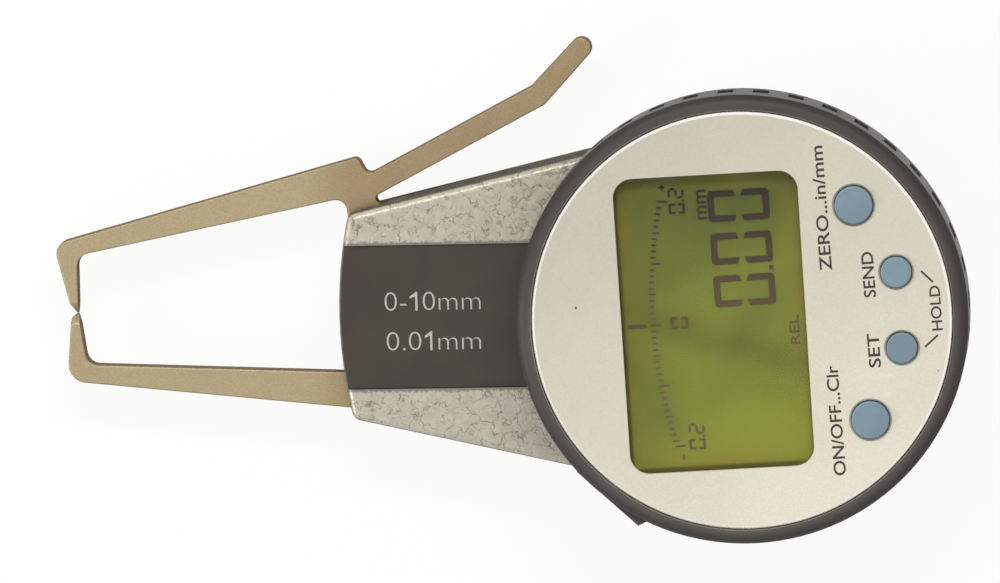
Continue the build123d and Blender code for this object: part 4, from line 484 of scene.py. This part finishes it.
def silverFace():
    # Fine silver paint: sparkling grain, broad clouds, painted light that rises to the lower right,
    # one speck, one faint scratch, and bare polished metal on the bevel of the rim
    material, tree, shader = startMaterial(
        "silverFace", facePaint["colour"], facePaint["metallic"], facePaint["roughness"]
    )
    place = objectMillimetres(tree)
    grain = useGroup(tree, fineGrain, Vector=place, Scale=5.0, Fine=0.8).outputs["Grain"]
    patches = useGroup(
        tree, handlingPatches, Vector=place, Scale=0.05, Least=0.96, Most=1.03
    ).outputs["Patches"]
    shade = maths(tree, "MULTIPLY", spread(tree, grain, 0.3, 0.7, 0.945, 1.05), patches)
    across, up = splitAxes(tree, place)[:2]
    # painted light: the tone rises to the lower right
    middle, alongX, alongY = facePaint["paintedLightSlope"]
    drift = maths(
        tree, "ADD", maths(tree, "MULTIPLY", across, alongX), maths(tree, "MULTIPLY", up, alongY)
    )
    shade = maths(tree, "MULTIPLY", shade, maths(tree, "ADD", drift, middle))
    tone = blendColours(tree, 1.0, (*facePaint["colour"], 1), shade, "MULTIPLY")
    for spot, radius, strength in (facePaint["speck"], facePaint["scratch"]):
        mark = useGroup(tree, speckGroup, Vector=place, Place=spot, Radius=radius).outputs["Speck"]
        share = maths(tree, "MULTIPLY", mark, strength)
        tone = blendColours(tree, share, tone, (*facePaint["markColour"], 1))
    upward = splitAxes(tree, addNode(tree, "ShaderNodeNewGeometry").outputs["True Normal"])[2]
    sloped = maths(tree, "MULTIPLY", spread(tree, upward, 0.85, 0.95, 1.0, 0.0),
                   spread(tree, upward, 0.4, 0.5))
    atRim = maths(tree, "GREATER_THAN", radiusFrom(tree, place), facePaint["polishFrom"])
    sloped = maths(tree, "MULTIPLY", sloped, atRim)
    tone = blendColours(tree, sloped, tone, (*facePaint["polish"], 1))
    feed(tree, tone, shader.inputs["Base Color"])
    feed(tree, maths(tree, "MAXIMUM", sloped, facePaint["metallic"]), shader.inputs["Metallic"])
    matt = spread(tree, grain, 0.3, 0.7, 0.38, 0.46)
    feed(tree, maths(tree, "SUBTRACT", matt, maths(tree, "MULTIPLY", sloped, 0.2)),
         shader.inputs["Roughness"])
    bumpFrom(tree, shader, grain, 0.004)
    return material


lcd = {  # the panel's own axes: across to the right of its digits, up towards its scale
    "middle": (0.094, 0.106, 0.020),
    "bright": (0.175, 0.196, 0.024),
    "dark": (0.046, 0.056, 0.013),
    "amber": (0.165, 0.132, 0.02),
    # dark brown of the painted shade along the panel's edge, where the window's recess walls shade
    # it
    "rim": (0.05, 0.032, 0.010),
    "turn": 92.3,
    "centre": (-3.55, 0.15, 0),
    "half": (19.75, 12.25),
    "darkFrom": (8.0, 19.0),  # across, where the painted shade of the dark right end starts and is full
    "waveLean": 0.42,
    "waveAt": -3.3,
    "waveHalf": 3.4,
    "waveShare": 0.3,
    "amberWidth": 4.2,
    "rimWidth": 0.5,
    "inkFaded": (0.088, 0.062, 0.034),
    "inkDark": (0.018, 0.0145, 0.0135),
    "inkFade": (-4.0, 18.0),  # across, where the ink is faded and where it is dark
}


def lcdPanel():
    # Panel: dark green at its right end and brighter to the left and below, both painted shade and
    # light, one darker slanting wave across it, amber towards the rim, painted shade along the rim,
    # fine grain
    material, tree, shader = startMaterial(
        "lcdPanel", lcd["middle"], 0.0, 0.4, Specular_IOR_Level=0.1
    )
    place = objectMillimetres(tree, lcd["turn"], lcd["centre"])
    across, up = splitAxes(tree, place)[:2]
    clouds = maths(tree, "SUBTRACT", noise(tree, place, 0.06, 2.0, 0.5, 0.5), 0.5)
    aslant = maths(tree, "ADD", across, maths(tree, "MULTIPLY", up, 0.55))
    sunk = maths(tree, "MULTIPLY", aslant, -1.0)
    broad = maths(tree, "MULTIPLY", clouds, 1.2)
    # painted light: brighter to the left and below
    slope = maths(tree, "ADD", spread(tree, sunk, -22.0, 26.0), broad)
    tone = blendColours(
        tree, spread(tree, slope, 0.2, 1.0), (*lcd["middle"], 1), (*lcd["bright"], 1)
    )
    # painted shade: darker at the right end
    drift = maths(tree, "ADD", across, maths(tree, "MULTIPLY", clouds, 18.0))
    end = maths(tree, "MULTIPLY", spread(tree, drift, *lcd["darkFrom"]), 0.9)
    tone = blendColours(tree, end, tone, (*lcd["dark"], 1))
    lean = maths(tree, "SUBTRACT", across, maths(tree, "MULTIPLY", up, lcd["waveLean"]))
    wave = maths(tree, "ADD", lean, maths(tree, "MULTIPLY", clouds, 8.0))
    fromWave = maths(tree, "ABSOLUTE", maths(tree, "SUBTRACT", wave, lcd["waveAt"]))
    strip = spread(tree, fromWave, 0.0, lcd["waveHalf"], lcd["waveShare"], 0.0, True)
    tone = blendColours(tree, strip, tone, (*lcd["dark"], 1))
    fromSide = maths(tree, "SUBTRACT", lcd["half"][0], maths(tree, "ABSOLUTE", across))
    fromEdge = maths(tree, "SUBTRACT", lcd["half"][1], maths(tree, "ABSOLUTE", up))
    nearest = maths(tree, "MINIMUM", fromSide, fromEdge)
    amber = maths(tree, "MULTIPLY", spread(tree, nearest, 0.2, lcd["amberWidth"], 0.75, 0.0, True),
                  spread(tree, clouds, -0.12, 0.1, 0.35, 1.0))
    tone = blendColours(tree, amber, tone, (*lcd["amber"], 1))
    # painted shade along the panel's edge, where the window's recess walls shade it
    rim = spread(tree, nearest, 0.0, lcd["rimWidth"], 0.7, 0.0, True)
    tone = blendColours(tree, rim, tone, (*lcd["rim"], 1))
    grain = useGroup(tree, fineGrain, Vector=place, Scale=4.0, Fine=1.0).outputs["Grain"]
    shade = spread(tree, grain, 0.25, 0.75, 0.9, 1.1)
    feed(tree, blendColours(tree, 1.0, tone, shade, "MULTIPLY"), shader.inputs["Base Color"])
    feed(tree, spread(tree, grain, 0.3, 0.7, 0.36, 0.46), shader.inputs["Roughness"])
    return material


def segmentInk():
    # Dark segments that fade to brown towards the display's left end
    material, tree, shader = startMaterial(
        "segmentInk", lcd["inkDark"], 0.0, 0.5, Specular_IOR_Level=0.1
    )
    place = objectMillimetres(tree, lcd["turn"], lcd["centre"])
    cloud = noise(tree, place, 0.12, 2.0)
    drift = maths(tree, "ADD", splitAxes(tree, place)[0], cloud)
    fade = spread(tree, drift, *lcd["inkFade"])
    tone = blendColours(tree, fade, (*lcd["inkFaded"], 1), (*lcd["inkDark"], 1))
    feed(tree, tone, shader.inputs["Base Color"])
    return material


def printedInk(name, colour):
    # Ink of a screen print: faintly uneven in colour and gloss
    material, tree, shader = startMaterial(name, colour, 0.0, 0.5)
    place = objectMillimetres(tree)
    cover = useGroup(tree, fineGrain, Vector=place, Scale=3.0, Fine=0.6).outputs["Grain"]
    shade = spread(tree, cover, 0.3, 0.7, 0.88, 1.1)
    feed(tree, blendColours(tree, 1.0, (*colour, 1), shade, "MULTIPLY"), shader.inputs["Base Color"])
    feed(tree, spread(tree, cover, 0.3, 0.7, 0.42, 0.58), shader.inputs["Roughness"])
    return material


def clearWindow():
    # Clear window with an anti-glare coat, so it mirrors little, and a slightly uneven gloss
    material, tree, shader = startMaterial(
        "clearWindow", (0.97, 0.98, 0.95), 0.0, 0.03, Transmission_Weight=1.0, IOR=1.15
    )
    place = objectMillimetres(tree)
    patches = useGroup(
        tree, handlingPatches, Vector=place, Scale=0.08, Least=0.02, Most=0.06
    ).outputs["Patches"]
    feed(tree, patches, shader.inputs["Roughness"])
    return material


encoderDisc = {
    "glass": (0.80, 0.84, 0.86),
    "track": (0.02, 0.02, 0.02),
    "axis": (-25.55, 0, 0),
    "tracks": 90.0,
    "inner": (5.4, 5.5),  # radii over which the tracks set in
    "outer": (7.3, 7.4),  # and over which they end
}


def codedDisc():
    # Glass disc with fine dark radial tracks between two radii round its axis: a track wherever
    # the sine of the turn times their number is above 0
    material, tree, shader = startMaterial(
        "codedDisc", encoderDisc["glass"], 0.0, 0.08, Transmission_Weight=0.6, IOR=1.5
    )
    place = objectMillimetres(tree, 0.0, encoderDisc["axis"])
    across, up = splitAxes(tree, place)[:2]
    turn = maths(tree, "ARCTAN2", up, across)
    wave = maths(tree, "SINE", maths(tree, "MULTIPLY", turn, encoderDisc["tracks"]))
    radius = radiusFrom(tree, place)
    band = maths(tree, "MULTIPLY", spread(tree, radius, *encoderDisc["inner"]),
                 spread(tree, radius, *encoderDisc["outer"], 1.0, 0.0))
    track = maths(tree, "MULTIPLY", band, maths(tree, "GREATER_THAN", wave, 0.0))
    tone = blendColours(tree, track, (*encoderDisc["glass"], 1), (*encoderDisc["track"], 1))
    feed(tree, tone, shader.inputs["Base Color"])
    return material


steelColour = (0.56, 0.56, 0.57)
finishes = {
    "hammertone_paint": hammertonePaint(),
    "cover_paint": mouldedPlastic("coverPaint", (0.42, 0.40, 0.35), 0.42, 1.6, 0.02),
    "tempered_steel": temperedSteel(),
    "label_print": mouldedPlastic("labelFilm", (0.038, 0.033, 0.022), 0.42, 5.0, 0.003),
    "bezel": bezelPlastic(),
    "face": silverFace(),
    "lens": clearWindow(),
    "lcd": lcdPanel(),
    "key_blue": mouldedPlastic("keyBlue", (0.215, 0.305, 0.372), 0.42, 6.0, 0.004),
    "rubber": mouldedPlastic("softRubber", (0.035, 0.034, 0.033), 0.7, 3.0, 0.006),
    "black_plastic": mouldedPlastic("blackPlastic", (0.03, 0.03, 0.03), 0.45),
    "steel": groundSteel("turnedSteel", steelColour, 0.28, 3.0),
    "screw_steel": groundSteel("platedSteel", (0.62, 0.61, 0.58), 0.22, 2.0),
    "spring_steel": groundSteel("springWire", (0.50, 0.50, 0.51), 0.3, 2.0),
    "brass": groundSteel("machinedBrass", (0.70, 0.52, 0.22), 0.3, 4.0, 30.0),
    "bronze": groundSteel("sinteredBronze", (0.52, 0.33, 0.15), 0.48, 1.0),
    "board": mouldedPlastic("solderMask", (0.02, 0.14, 0.05), 0.32, 1.2, 0.01),
    "cell_steel": groundSteel("nickelCan", (0.66, 0.65, 0.62), 0.24, 5.0),
    "disc_glass": codedDisc(),
    "cable_film": mouldedPlastic("amberFilm", (0.50, 0.24, 0.05), 0.3, 2.0, 0.003),
    "lead_red": mouldedPlastic("leadSleeve", (0.30, 0.03, 0.02), 0.45, 4.0, 0.004),
    "washer_film": mouldedPlastic("washerFilm", (0.70, 0.69, 0.64), 0.4, 4.0, 0.003),
}
slotOfNode = {part["node"]: part["material_slot"] for part in frame["record"]["subparts"]}
for nodeName, node in nodes.items():
    node.data.materials.clear()
    node.data.materials.append(finishes[slotOfNode[nodeName]])
nodes["window"].visible_shadow = False  # light reaches the panel below it
print("finishes made:", len(finishes))

# Printed words and display content


def turned(points, turn):
    # Points of a plane turned about the display's axis by an angle in degrees
    angle = math.radians(turn)
    spin = np.array([[math.cos(angle), math.sin(angle)], [-math.sin(angle), math.cos(angle)]])
    return np.asarray(points, float) @ spin


def showPiece(name, mesh, material, body):
    # A finished mesh becomes a piece that rides on a body
    mesh.materials.clear()
    mesh.materials.append(material)
    piece = bpy.data.objects.new(name, mesh)
    bpy.context.scene.collection.objects.link(piece)
    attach(piece, body)
    return piece


def slabMesh(name, outlines, low, high):
    # Flat outlines given a thickness: each has a top, a bottom and one wall per side
    verts, faces, start = [], [], 0
    for outline in outlines:
        flat = np.asarray(outline, float)
        count = len(flat)
        levels = [np.column_stack([flat, np.full(count, level)]) for level in (low, high)]
        verts.append(np.vstack(levels) * mm)
        ring = np.arange(count)
        after = (ring + 1) % count
        faces.append((ring[::-1] + start).tolist())
        faces.append((ring + count + start).tolist())
        walls = np.column_stack([ring, after, after + count, ring + count]) + start
        faces.extend(walls.tolist())
        start += 2 * count
    mesh = bpy.data.meshes.new(name)
    mesh.from_pydata(np.vstack(verts).tolist(), [], faces)
    mesh.validate()
    return mesh


def box2(left, right, low, high):
    # Outline of a level rectangle, counter-clockwise
    return np.array([[left, low], [right, low], [right, high], [left, high]])


def stroke(start, end, width):
    # Outline of a straight stroke with square ends
    start, end = np.asarray(start, float), np.asarray(end, float)
    along = (end - start) / np.linalg.norm(end - start)
    side = np.array([-along[1], along[0]]) * width / 2
    return np.array([start - side, end - side, end + side, start + side])


twoSegments = [  # the lit segments of a two, between corners of a cell one wide and two high
    ((0, 2), (1, 2)), ((1, 1), (1, 2)), ((0, 1), (1, 1)), ((0, 0), (0, 1)), ((0, 0), (1, 0)),
]


def segmentTwo(left, low, width, height, thick, gap):
    # Two on a seven-segment digit: each lit segment is a bar with its ends cut to points
    outlines = []
    inner = np.array([width - thick, (height - thick) / 2])
    origin = np.array([left + thick / 2, low + thick / 2])
    for corners in twoSegments:
        start, end = [origin + np.array(corner) * inner for corner in corners]
        along = (end - start) / np.linalg.norm(end - start)
        side = np.array([-along[1], along[0]]) * thick / 2
        start, end = start + along * gap, end - along * gap
        inset = along * thick / 2
        outlines.append(np.array([
            start, start + inset - side, end - inset - side, end, end - inset + side,
            start + inset + side,
        ]))
    return outlines


def squareZero(left, low, width, height, thick, gap):
    # Zero with filled corners: two level bars and four brackets, apart at half height only
    outlines = []
    right, high, middle = left + width, low + height, low + height / 2
    half = gap / 2
    outlines.append(box2(left + thick, right - thick, high - thick, high))
    outlines.append(box2(left + thick, right - thick, low, low + thick))
    bevel = thick * 0.45
    for x, sign in ((left, 1), (right, -1)):
        inner = x + sign * thick
        upper = [(x, middle + half + bevel), (inner, middle + half), (inner, high),
                 (x + sign * bevel, high), (x, high - bevel)]
        lower = [(x, middle - half - bevel), (x, low + bevel), (x + sign * bevel, low),
                 (inner, low), (inner, middle - half)]
        for outline in (upper, lower):
            outlines.append(np.array(outline if sign > 0 else outline[::-1]))
    return outlines


lcdContent = {  # millimetres across to the right of the digits and up towards the scale
    "turn": 92.8,
    "level": 17.9,
    "thick": 0.03,
    "lift": 0.005,  # above the panel
    "digitLeft": (1.81, 7.47, 13.16),
    "digitLow": -4.75,
    "digitSize": (4.25, 8.2),
    "digitBar": 0.92,
    "digitGap": 0.5,
    "point": (6.72, -4.40, 0.62),
    "smallBar": 0.42,
    "scaleZero": (-0.71, 7.11, 1.67, 2.4, 0.22),  # left, low, width, height, gap
    "endNumbers": ((14.6, 6.45), (-16.97, 6.0)),  # left and low of each
    "endSize": (1.5, 2.2),
    "endBar": 0.357,
    "endStep": 2.05,
    "endPoint": (1.62, 1.95, 0.33),
    "scaleR": 66.0,
    "scaleTop": 12.2,
    "tickPitch": 0.823,
    "tickCount": 20,
    "tickWidth": 0.3,
    "tickLengths": (1.45, 0.95, 0.75),  # at tenth places, at fifth places, elsewhere
    "pointer": (-0.33, 0.27, 12.62, 15.17),
    "signs": (  # left, right, low and high of the bars of the plus and the minus
        (17.85, 18.65, 9.2, 9.5), (18.1, 18.4, 9.5, 9.75), (18.1, 18.4, 8.95, 9.2),
        (-18.25, -17.55, 8.9, 9.2),
    ),
}


def tickOutlines():
    # Scale: ticks hang inwards from an arc, longer at every fifth and tenth place
    outlines = []
    radius, top = lcdContent["scaleR"], lcdContent["scaleTop"]
    long, middling, short = lcdContent["tickLengths"]
    for place in range(-lcdContent["tickCount"], lcdContent["tickCount"] + 1):
        length = long if place % 10 == 0 else middling if place % 5 == 0 else short
        across = place * lcdContent["tickPitch"]
        lean = math.asin(across / radius)
        high = top - radius + radius * math.cos(lean)
        foot = (across - length * math.sin(lean) * 0.4, high - length)
        outlines.append(stroke(foot, (across, high), lcdContent["tickWidth"]))
    return outlines


def lcdOutlines():
    # All segments of the display: value, point, pointer, scale, its numbers and its signs
    width, height = lcdContent["digitSize"]
    outlines = tickOutlines()
    for left in lcdContent["digitLeft"]:
        outlines += squareZero(left, lcdContent["digitLow"], width, height,
                               lcdContent["digitBar"], lcdContent["digitGap"])
    x, y, side = lcdContent["point"]
    outlines.append(box2(x - side / 2, x + side / 2, y - side / 2, y + side / 2))
    outlines.append(box2(*lcdContent["pointer"]))
    left, low, width, height, gap = lcdContent["scaleZero"]
    outlines += squareZero(left, low, width, height, lcdContent["smallBar"], gap)
    width, height = lcdContent["endSize"]
    bar, step = lcdContent["endBar"], lcdContent["endStep"]
    pointLeft, pointRight, pointHigh = lcdContent["endPoint"]
    for left, low in lcdContent["endNumbers"]:
        outlines += squareZero(left, low, width, height, bar, 0.2)
        outlines += segmentTwo(left + step, low, width, height, bar, 0.06)
        outlines.append(box2(left + pointLeft, left + pointRight, low, low + pointHigh))
    outlines += [box2(*sign) for sign in lcdContent["signs"]]
    return outlines


capitalShare = 0.729  # capital height of the built-in font at size 1


def wordMesh(name, words, box, turn, level, thick, weight=0.0):
    # Words set to fill a box (left, right, baseline, capital height), then turned and lifted
    curve = bpy.data.curves.new(name, "FONT")
    curve.body = words
    curve.resolution_u = 4
    curve.offset = weight
    curve.extrude = 0.5
    holder = bpy.data.objects.new(name + "Curve", curve)
    bpy.context.scene.collection.objects.link(holder)
    bpy.context.view_layer.update()
    mesh = bpy.data.meshes.new_from_object(
        holder.evaluated_get(bpy.context.evaluated_depsgraph_get())
    )
    bpy.data.objects.remove(holder)
    mesh.name = name
    count = len(mesh.vertices)
    points = np.empty(count * 3)
    mesh.vertices.foreach_get("co", points)
    points = points.reshape(-1, 3)
    left, right, baseline, capital = box
    across = points[:, 0]
    scaleX = (right - left) / (across.max() - across.min())
    x = left + (across - across.min()) * scaleX
    y = baseline + points[:, 1] * capital / capitalShare
    z = level + thick * (points[:, 2] + 0.5)
    flat = turned(np.column_stack([x, y]), turn)
    placed = np.column_stack([flat, z]) * mm
    mesh.vertices.foreach_set("co", placed.ravel())
    mesh.update()
    return mesh


segmentMaterial = segmentInk()
lcdFlat = [turned(outline, lcdContent["turn"]) for outline in lcdOutlines()]
lcdFoot = lcdContent["level"] + lcdContent["lift"]
lcdTop = lcdContent["level"] + lcdContent["thick"]
showPiece("lcd_segments", slabMesh("lcdSegments", lcdFlat, lcdFoot, lcdTop),
          segmentMaterial, "display_head")
lcdWeight = 0.02  # how far the strokes of the words are thickened, in font sizes
lcdWords = {  # words and their box: left, right, baseline, capital height
    "lcd_unit": ("mm", (13.67, 17.68, 3.62, 1.95)),
    "lcd_mode": ("REL", (-3.73, 0.19, -7.47, 1.3)),
}
for name, (words, box) in lcdWords.items():
    mesh = wordMesh(name, words, box, lcdContent["turn"], lcdFoot, lcdTop - lcdFoot, lcdWeight)
    showPiece(name, mesh, segmentMaterial, "display_head")
print("display content made")

faceWords = {
    "legend_zero": ("ZERO...in/mm", (5.94, 22.54, -12.48, 1.65)),
    "legend_send": ("SEND", (1.93, 8.02, -18.0, 1.62)),
    "legend_set": ("SET", (-7.42, -2.9, -17.93, 1.62)),
    "legend_power": ("ON/OFF...Clr", (-21.5, -6.8, -12.2, 1.65)),
    "legend_hold": ("HOLD", (-3.1, 2.9, -26.45, 1.45)),
}
facePrint = {"turn": 93.2, "level": 19.495, "thick": 0.02, "colour": (0.04, 0.027, 0.025),
             "weight": 0.012}
legendInk = printedInk("legendInk", facePrint["colour"])
for name, (words, box) in faceWords.items():
    mesh = wordMesh(name, words, box, facePrint["turn"], facePrint["level"], facePrint["thick"],
                    facePrint["weight"])
    showPiece(name, mesh, legendInk, "display_head")
guideStrokes = [((4.96, -24.19), (3.37, -25.66)), ((-5.18, -23.94), (-3.70, -25.77))]
guideWidth = 0.26
guides = [turned(stroke(start, end, guideWidth), facePrint["turn"]) for start, end in guideStrokes]
showPiece(
    "legend_guides",
    slabMesh("legendGuides", guides, facePrint["level"], facePrint["level"] + facePrint["thick"]),
    legendInk, "display_head",
)

labelWords = {
    "label_range_from": ("0-", (-48.3, -45.38, 0.8, 2.74)),
    "label_range_to": ("0mm", (-43.17, -35.43, 0.8, 2.74)),
    "label_step_value": ("0.0", (-48.17, -43.52, -4.57, 2.74)),
    "label_step_unit": ("mm", (-41.21, -35.52, -4.57, 2.74)),
}
labelOnes = [  # each: middle of the stem, foot, top, tip of the flag
    (-44.04, 0.8, 3.34, (-44.93, 2.56)),
    (-42.18, -4.57, -1.98, (-43.04, -2.78)),
]
labelPrint = {"level": 9.645, "thick": 0.02, "colour": (0.56, 0.545, 0.50), "weight": -0.018,
              "stroke": 0.3}


def flaggedOne(middle, foot, top, tip):
    # Numeral one: a stem with a slanted flag at its top left
    half = labelPrint["stroke"] / 2
    return np.array([
        (middle - half, foot), (middle + half, foot), (middle + half, top), (middle, top),
        (tip[0], tip[1] + half), (tip[0], tip[1] - half), (middle - half, top - 4 * half),
    ])


labelInk = printedInk("labelInk", labelPrint["colour"])
for name, (words, box) in labelWords.items():
    mesh = wordMesh(name, words, box, 0.0, labelPrint["level"], labelPrint["thick"],
                    labelPrint["weight"])
    showPiece(name, mesh, labelInk, "gauge_body")
showPiece(
    "label_ones",
    slabMesh("labelOnes", [flaggedOne(*one) for one in labelOnes], labelPrint["level"],
             labelPrint["level"] + labelPrint["thick"]),
    labelInk, "gauge_body",
)
print("printed words made")

# Floor, light and camera

floorSet = {
    "half": 1.6,
    "level": -0.00005,
    "colour": (0.97, 0.97, 0.965),
    "dull": (0.95, 0.95, 0.945),
    "seenAs": (1, 1, 0.985),
    "shadowShare": 0.08,  # how much of its own light and shadow the camera sees
}


def seenDirectly(tree):
    # 1 for what the camera sees, by itself, in a reflection or through glass
    path = addNode(tree, "ShaderNodeLightPath")
    mirrored = maths(tree, "MAXIMUM", path.outputs["Is Camera Ray"], path.outputs["Is Glossy Ray"])
    return maths(tree, "MAXIMUM", mirrored, path.outputs["Is Transmission Ray"])


def paleFloor():
    # Floor: a plain diffuse sheet that the camera and mirrors see as nearly white
    half, level = floorSet["half"], floorSet["level"]
    mesh = bpy.data.meshes.new("paleFloor")
    corners = [(x, y, level) for x, y in box2(-half, half, -half, half).tolist()]
    mesh.from_pydata(corners, [], [(0, 1, 2, 3)])
    floor = bpy.data.objects.new("paleFloor", mesh)
    bpy.context.scene.collection.objects.link(floor)
    material = bpy.data.materials.new("paleFloor")
    material.use_nodes = True
    tree = material.node_tree
    shader = tree.nodes["Principled BSDF"]
    place = objectMillimetres(tree)
    cloud = noise(tree, place, 0.004, 2.0)
    tone = blendColours(tree, cloud, (*floorSet["colour"], 1), (*floorSet["dull"], 1))
    feed(tree, tone, shader.inputs["Base Color"])
    shader.inputs["Roughness"].default_value = 0.9
    glow = addNode(tree, "ShaderNodeEmission")
    glow.inputs["Color"].default_value = (*floorSet["seenAs"], 1)
    share = maths(tree, "MULTIPLY", seenDirectly(tree), 1.0 - floorSet["shadowShare"])
    mix = addNode(tree, "ShaderNodeMixShader")
    feed(tree, share, mix.inputs[0])
    feed(tree, shader.outputs[0], mix.inputs[1])
    feed(tree, glow.outputs[0], mix.inputs[2])
    feed(tree, mix.outputs[0], tree.nodes["Material Output"].inputs["Surface"])
    mesh.materials.append(material)


worldSet = {"strength": 0.5, "light": (0.97, 0.985, 1.0), "seenAs": (1, 1, 0.99)}


def softWorld():
    # World: even pale light, which the camera, metal and glass see as plain white
    world = bpy.data.worlds.new("softWorld")
    bpy.context.scene.world = world
    world.use_nodes = True
    tree = world.node_tree
    sky = tree.nodes["Background"]
    sky.inputs["Color"].default_value = (*worldSet["light"], 1)
    sky.inputs["Strength"].default_value = worldSet["strength"]
    white = addNode(tree, "ShaderNodeBackground")
    white.inputs["Color"].default_value = (*worldSet["seenAs"], 1)
    mix = addNode(tree, "ShaderNodeMixShader")
    feed(tree, seenDirectly(tree), mix.inputs[0])
    feed(tree, sky.outputs[0], mix.inputs[1])
    feed(tree, white.outputs[0], mix.inputs[2])
    feed(tree, mix.outputs[0], tree.nodes["World Output"].inputs["Surface"])


def softbox(name, place, aim, size, power, colour):
    # Area light at a place that looks at an aim point
    light = bpy.data.lights.new(name, "AREA")
    light.shape = "RECTANGLE"
    light.size, light.size_y = size
    light.energy = power
    light.color = colour
    lamp = bpy.data.objects.new(name, light)
    bpy.context.scene.collection.objects.link(lamp)
    lamp.location = place
    away = Vector(place) - Vector(aim)
    lamp.rotation_euler = away.to_track_quat("Z", "Y").to_euler()


lampAim = (-0.02, 0.0, 0.01)
lamps = {  # places and sizes in metres, power in watts
    "key": {"place": (0.0, 0.95, 0.95), "size": (1.3, 0.22), "power": 9.0,
            "colour": (1.0, 0.985, 0.95)},
    "fill": {"place": (-1.1, -0.25, 0.48), "size": (0.5, 0.35), "power": 4.4,
             "colour": (1.0, 0.985, 0.96)},
}
paleFloor()
softWorld()
for name, lamp in lamps.items():
    softbox(name, lamp["place"], lampAim, lamp["size"], lamp["power"], lamp["colour"])

cameraSet = {
    "tilt": 9.0,  # from straight above, degrees
    "towards": 57.0,  # side that it leans to, from +X
    "roll": 1.6,
    "distance": 1.2,
    "imageSize": (1000, 583),
    "pixelsPerMetre": 7560.0,
    "displayPixel": (741.5, 321.0),  # where the display's middle lies in the photograph
    "displayHeight": 0.0193,
}


def makeCamera():
    # The camera keeps its axis parallel to the view and shifts sideways, so the display's
    # middle falls on its pixel; the lens gives the scale at the camera's distance
    tilt, towards = math.radians(cameraSet["tilt"]), math.radians(cameraSet["towards"])
    back = Vector((math.sin(tilt) * math.cos(towards), math.sin(tilt) * math.sin(towards),
                   math.cos(tilt)))
    right = Vector((0, 1, 0)).cross(back).normalized()
    up = back.cross(right)
    roll = math.radians(cameraSet["roll"])
    rightRolled = right * math.cos(roll) - up * math.sin(roll)
    upRolled = right * math.sin(roll) + up * math.cos(roll)
    width, height = cameraSet["imageSize"]
    fromMiddle = ((cameraSet["displayPixel"][0] - width / 2) / cameraSet["pixelsPerMetre"],
                  (cameraSet["displayPixel"][1] - height / 2) / cameraSet["pixelsPerMetre"])
    target = Vector((0, 0, cameraSet["displayHeight"]))
    place = target + back * cameraSet["distance"]
    place += upRolled * fromMiddle[1] - rightRolled * fromMiddle[0]
    data = bpy.data.cameras.new("photoCamera")
    data.sensor_width = 36.0
    data.lens = 36.0 * cameraSet["distance"] * cameraSet["pixelsPerMetre"] / width
    data.clip_end = 20.0
    camera = bpy.data.objects.new("photoCamera", data)
    bpy.context.scene.collection.objects.link(camera)
    turn = Matrix((rightRolled, upRolled, back)).transposed().to_4x4()
    camera.matrix_world = Matrix.Translation(place) @ turn
    bpy.context.scene.camera = camera


makeCamera()
bpy.context.scene.view_settings.view_transform = "Standard"
print("light and camera set")
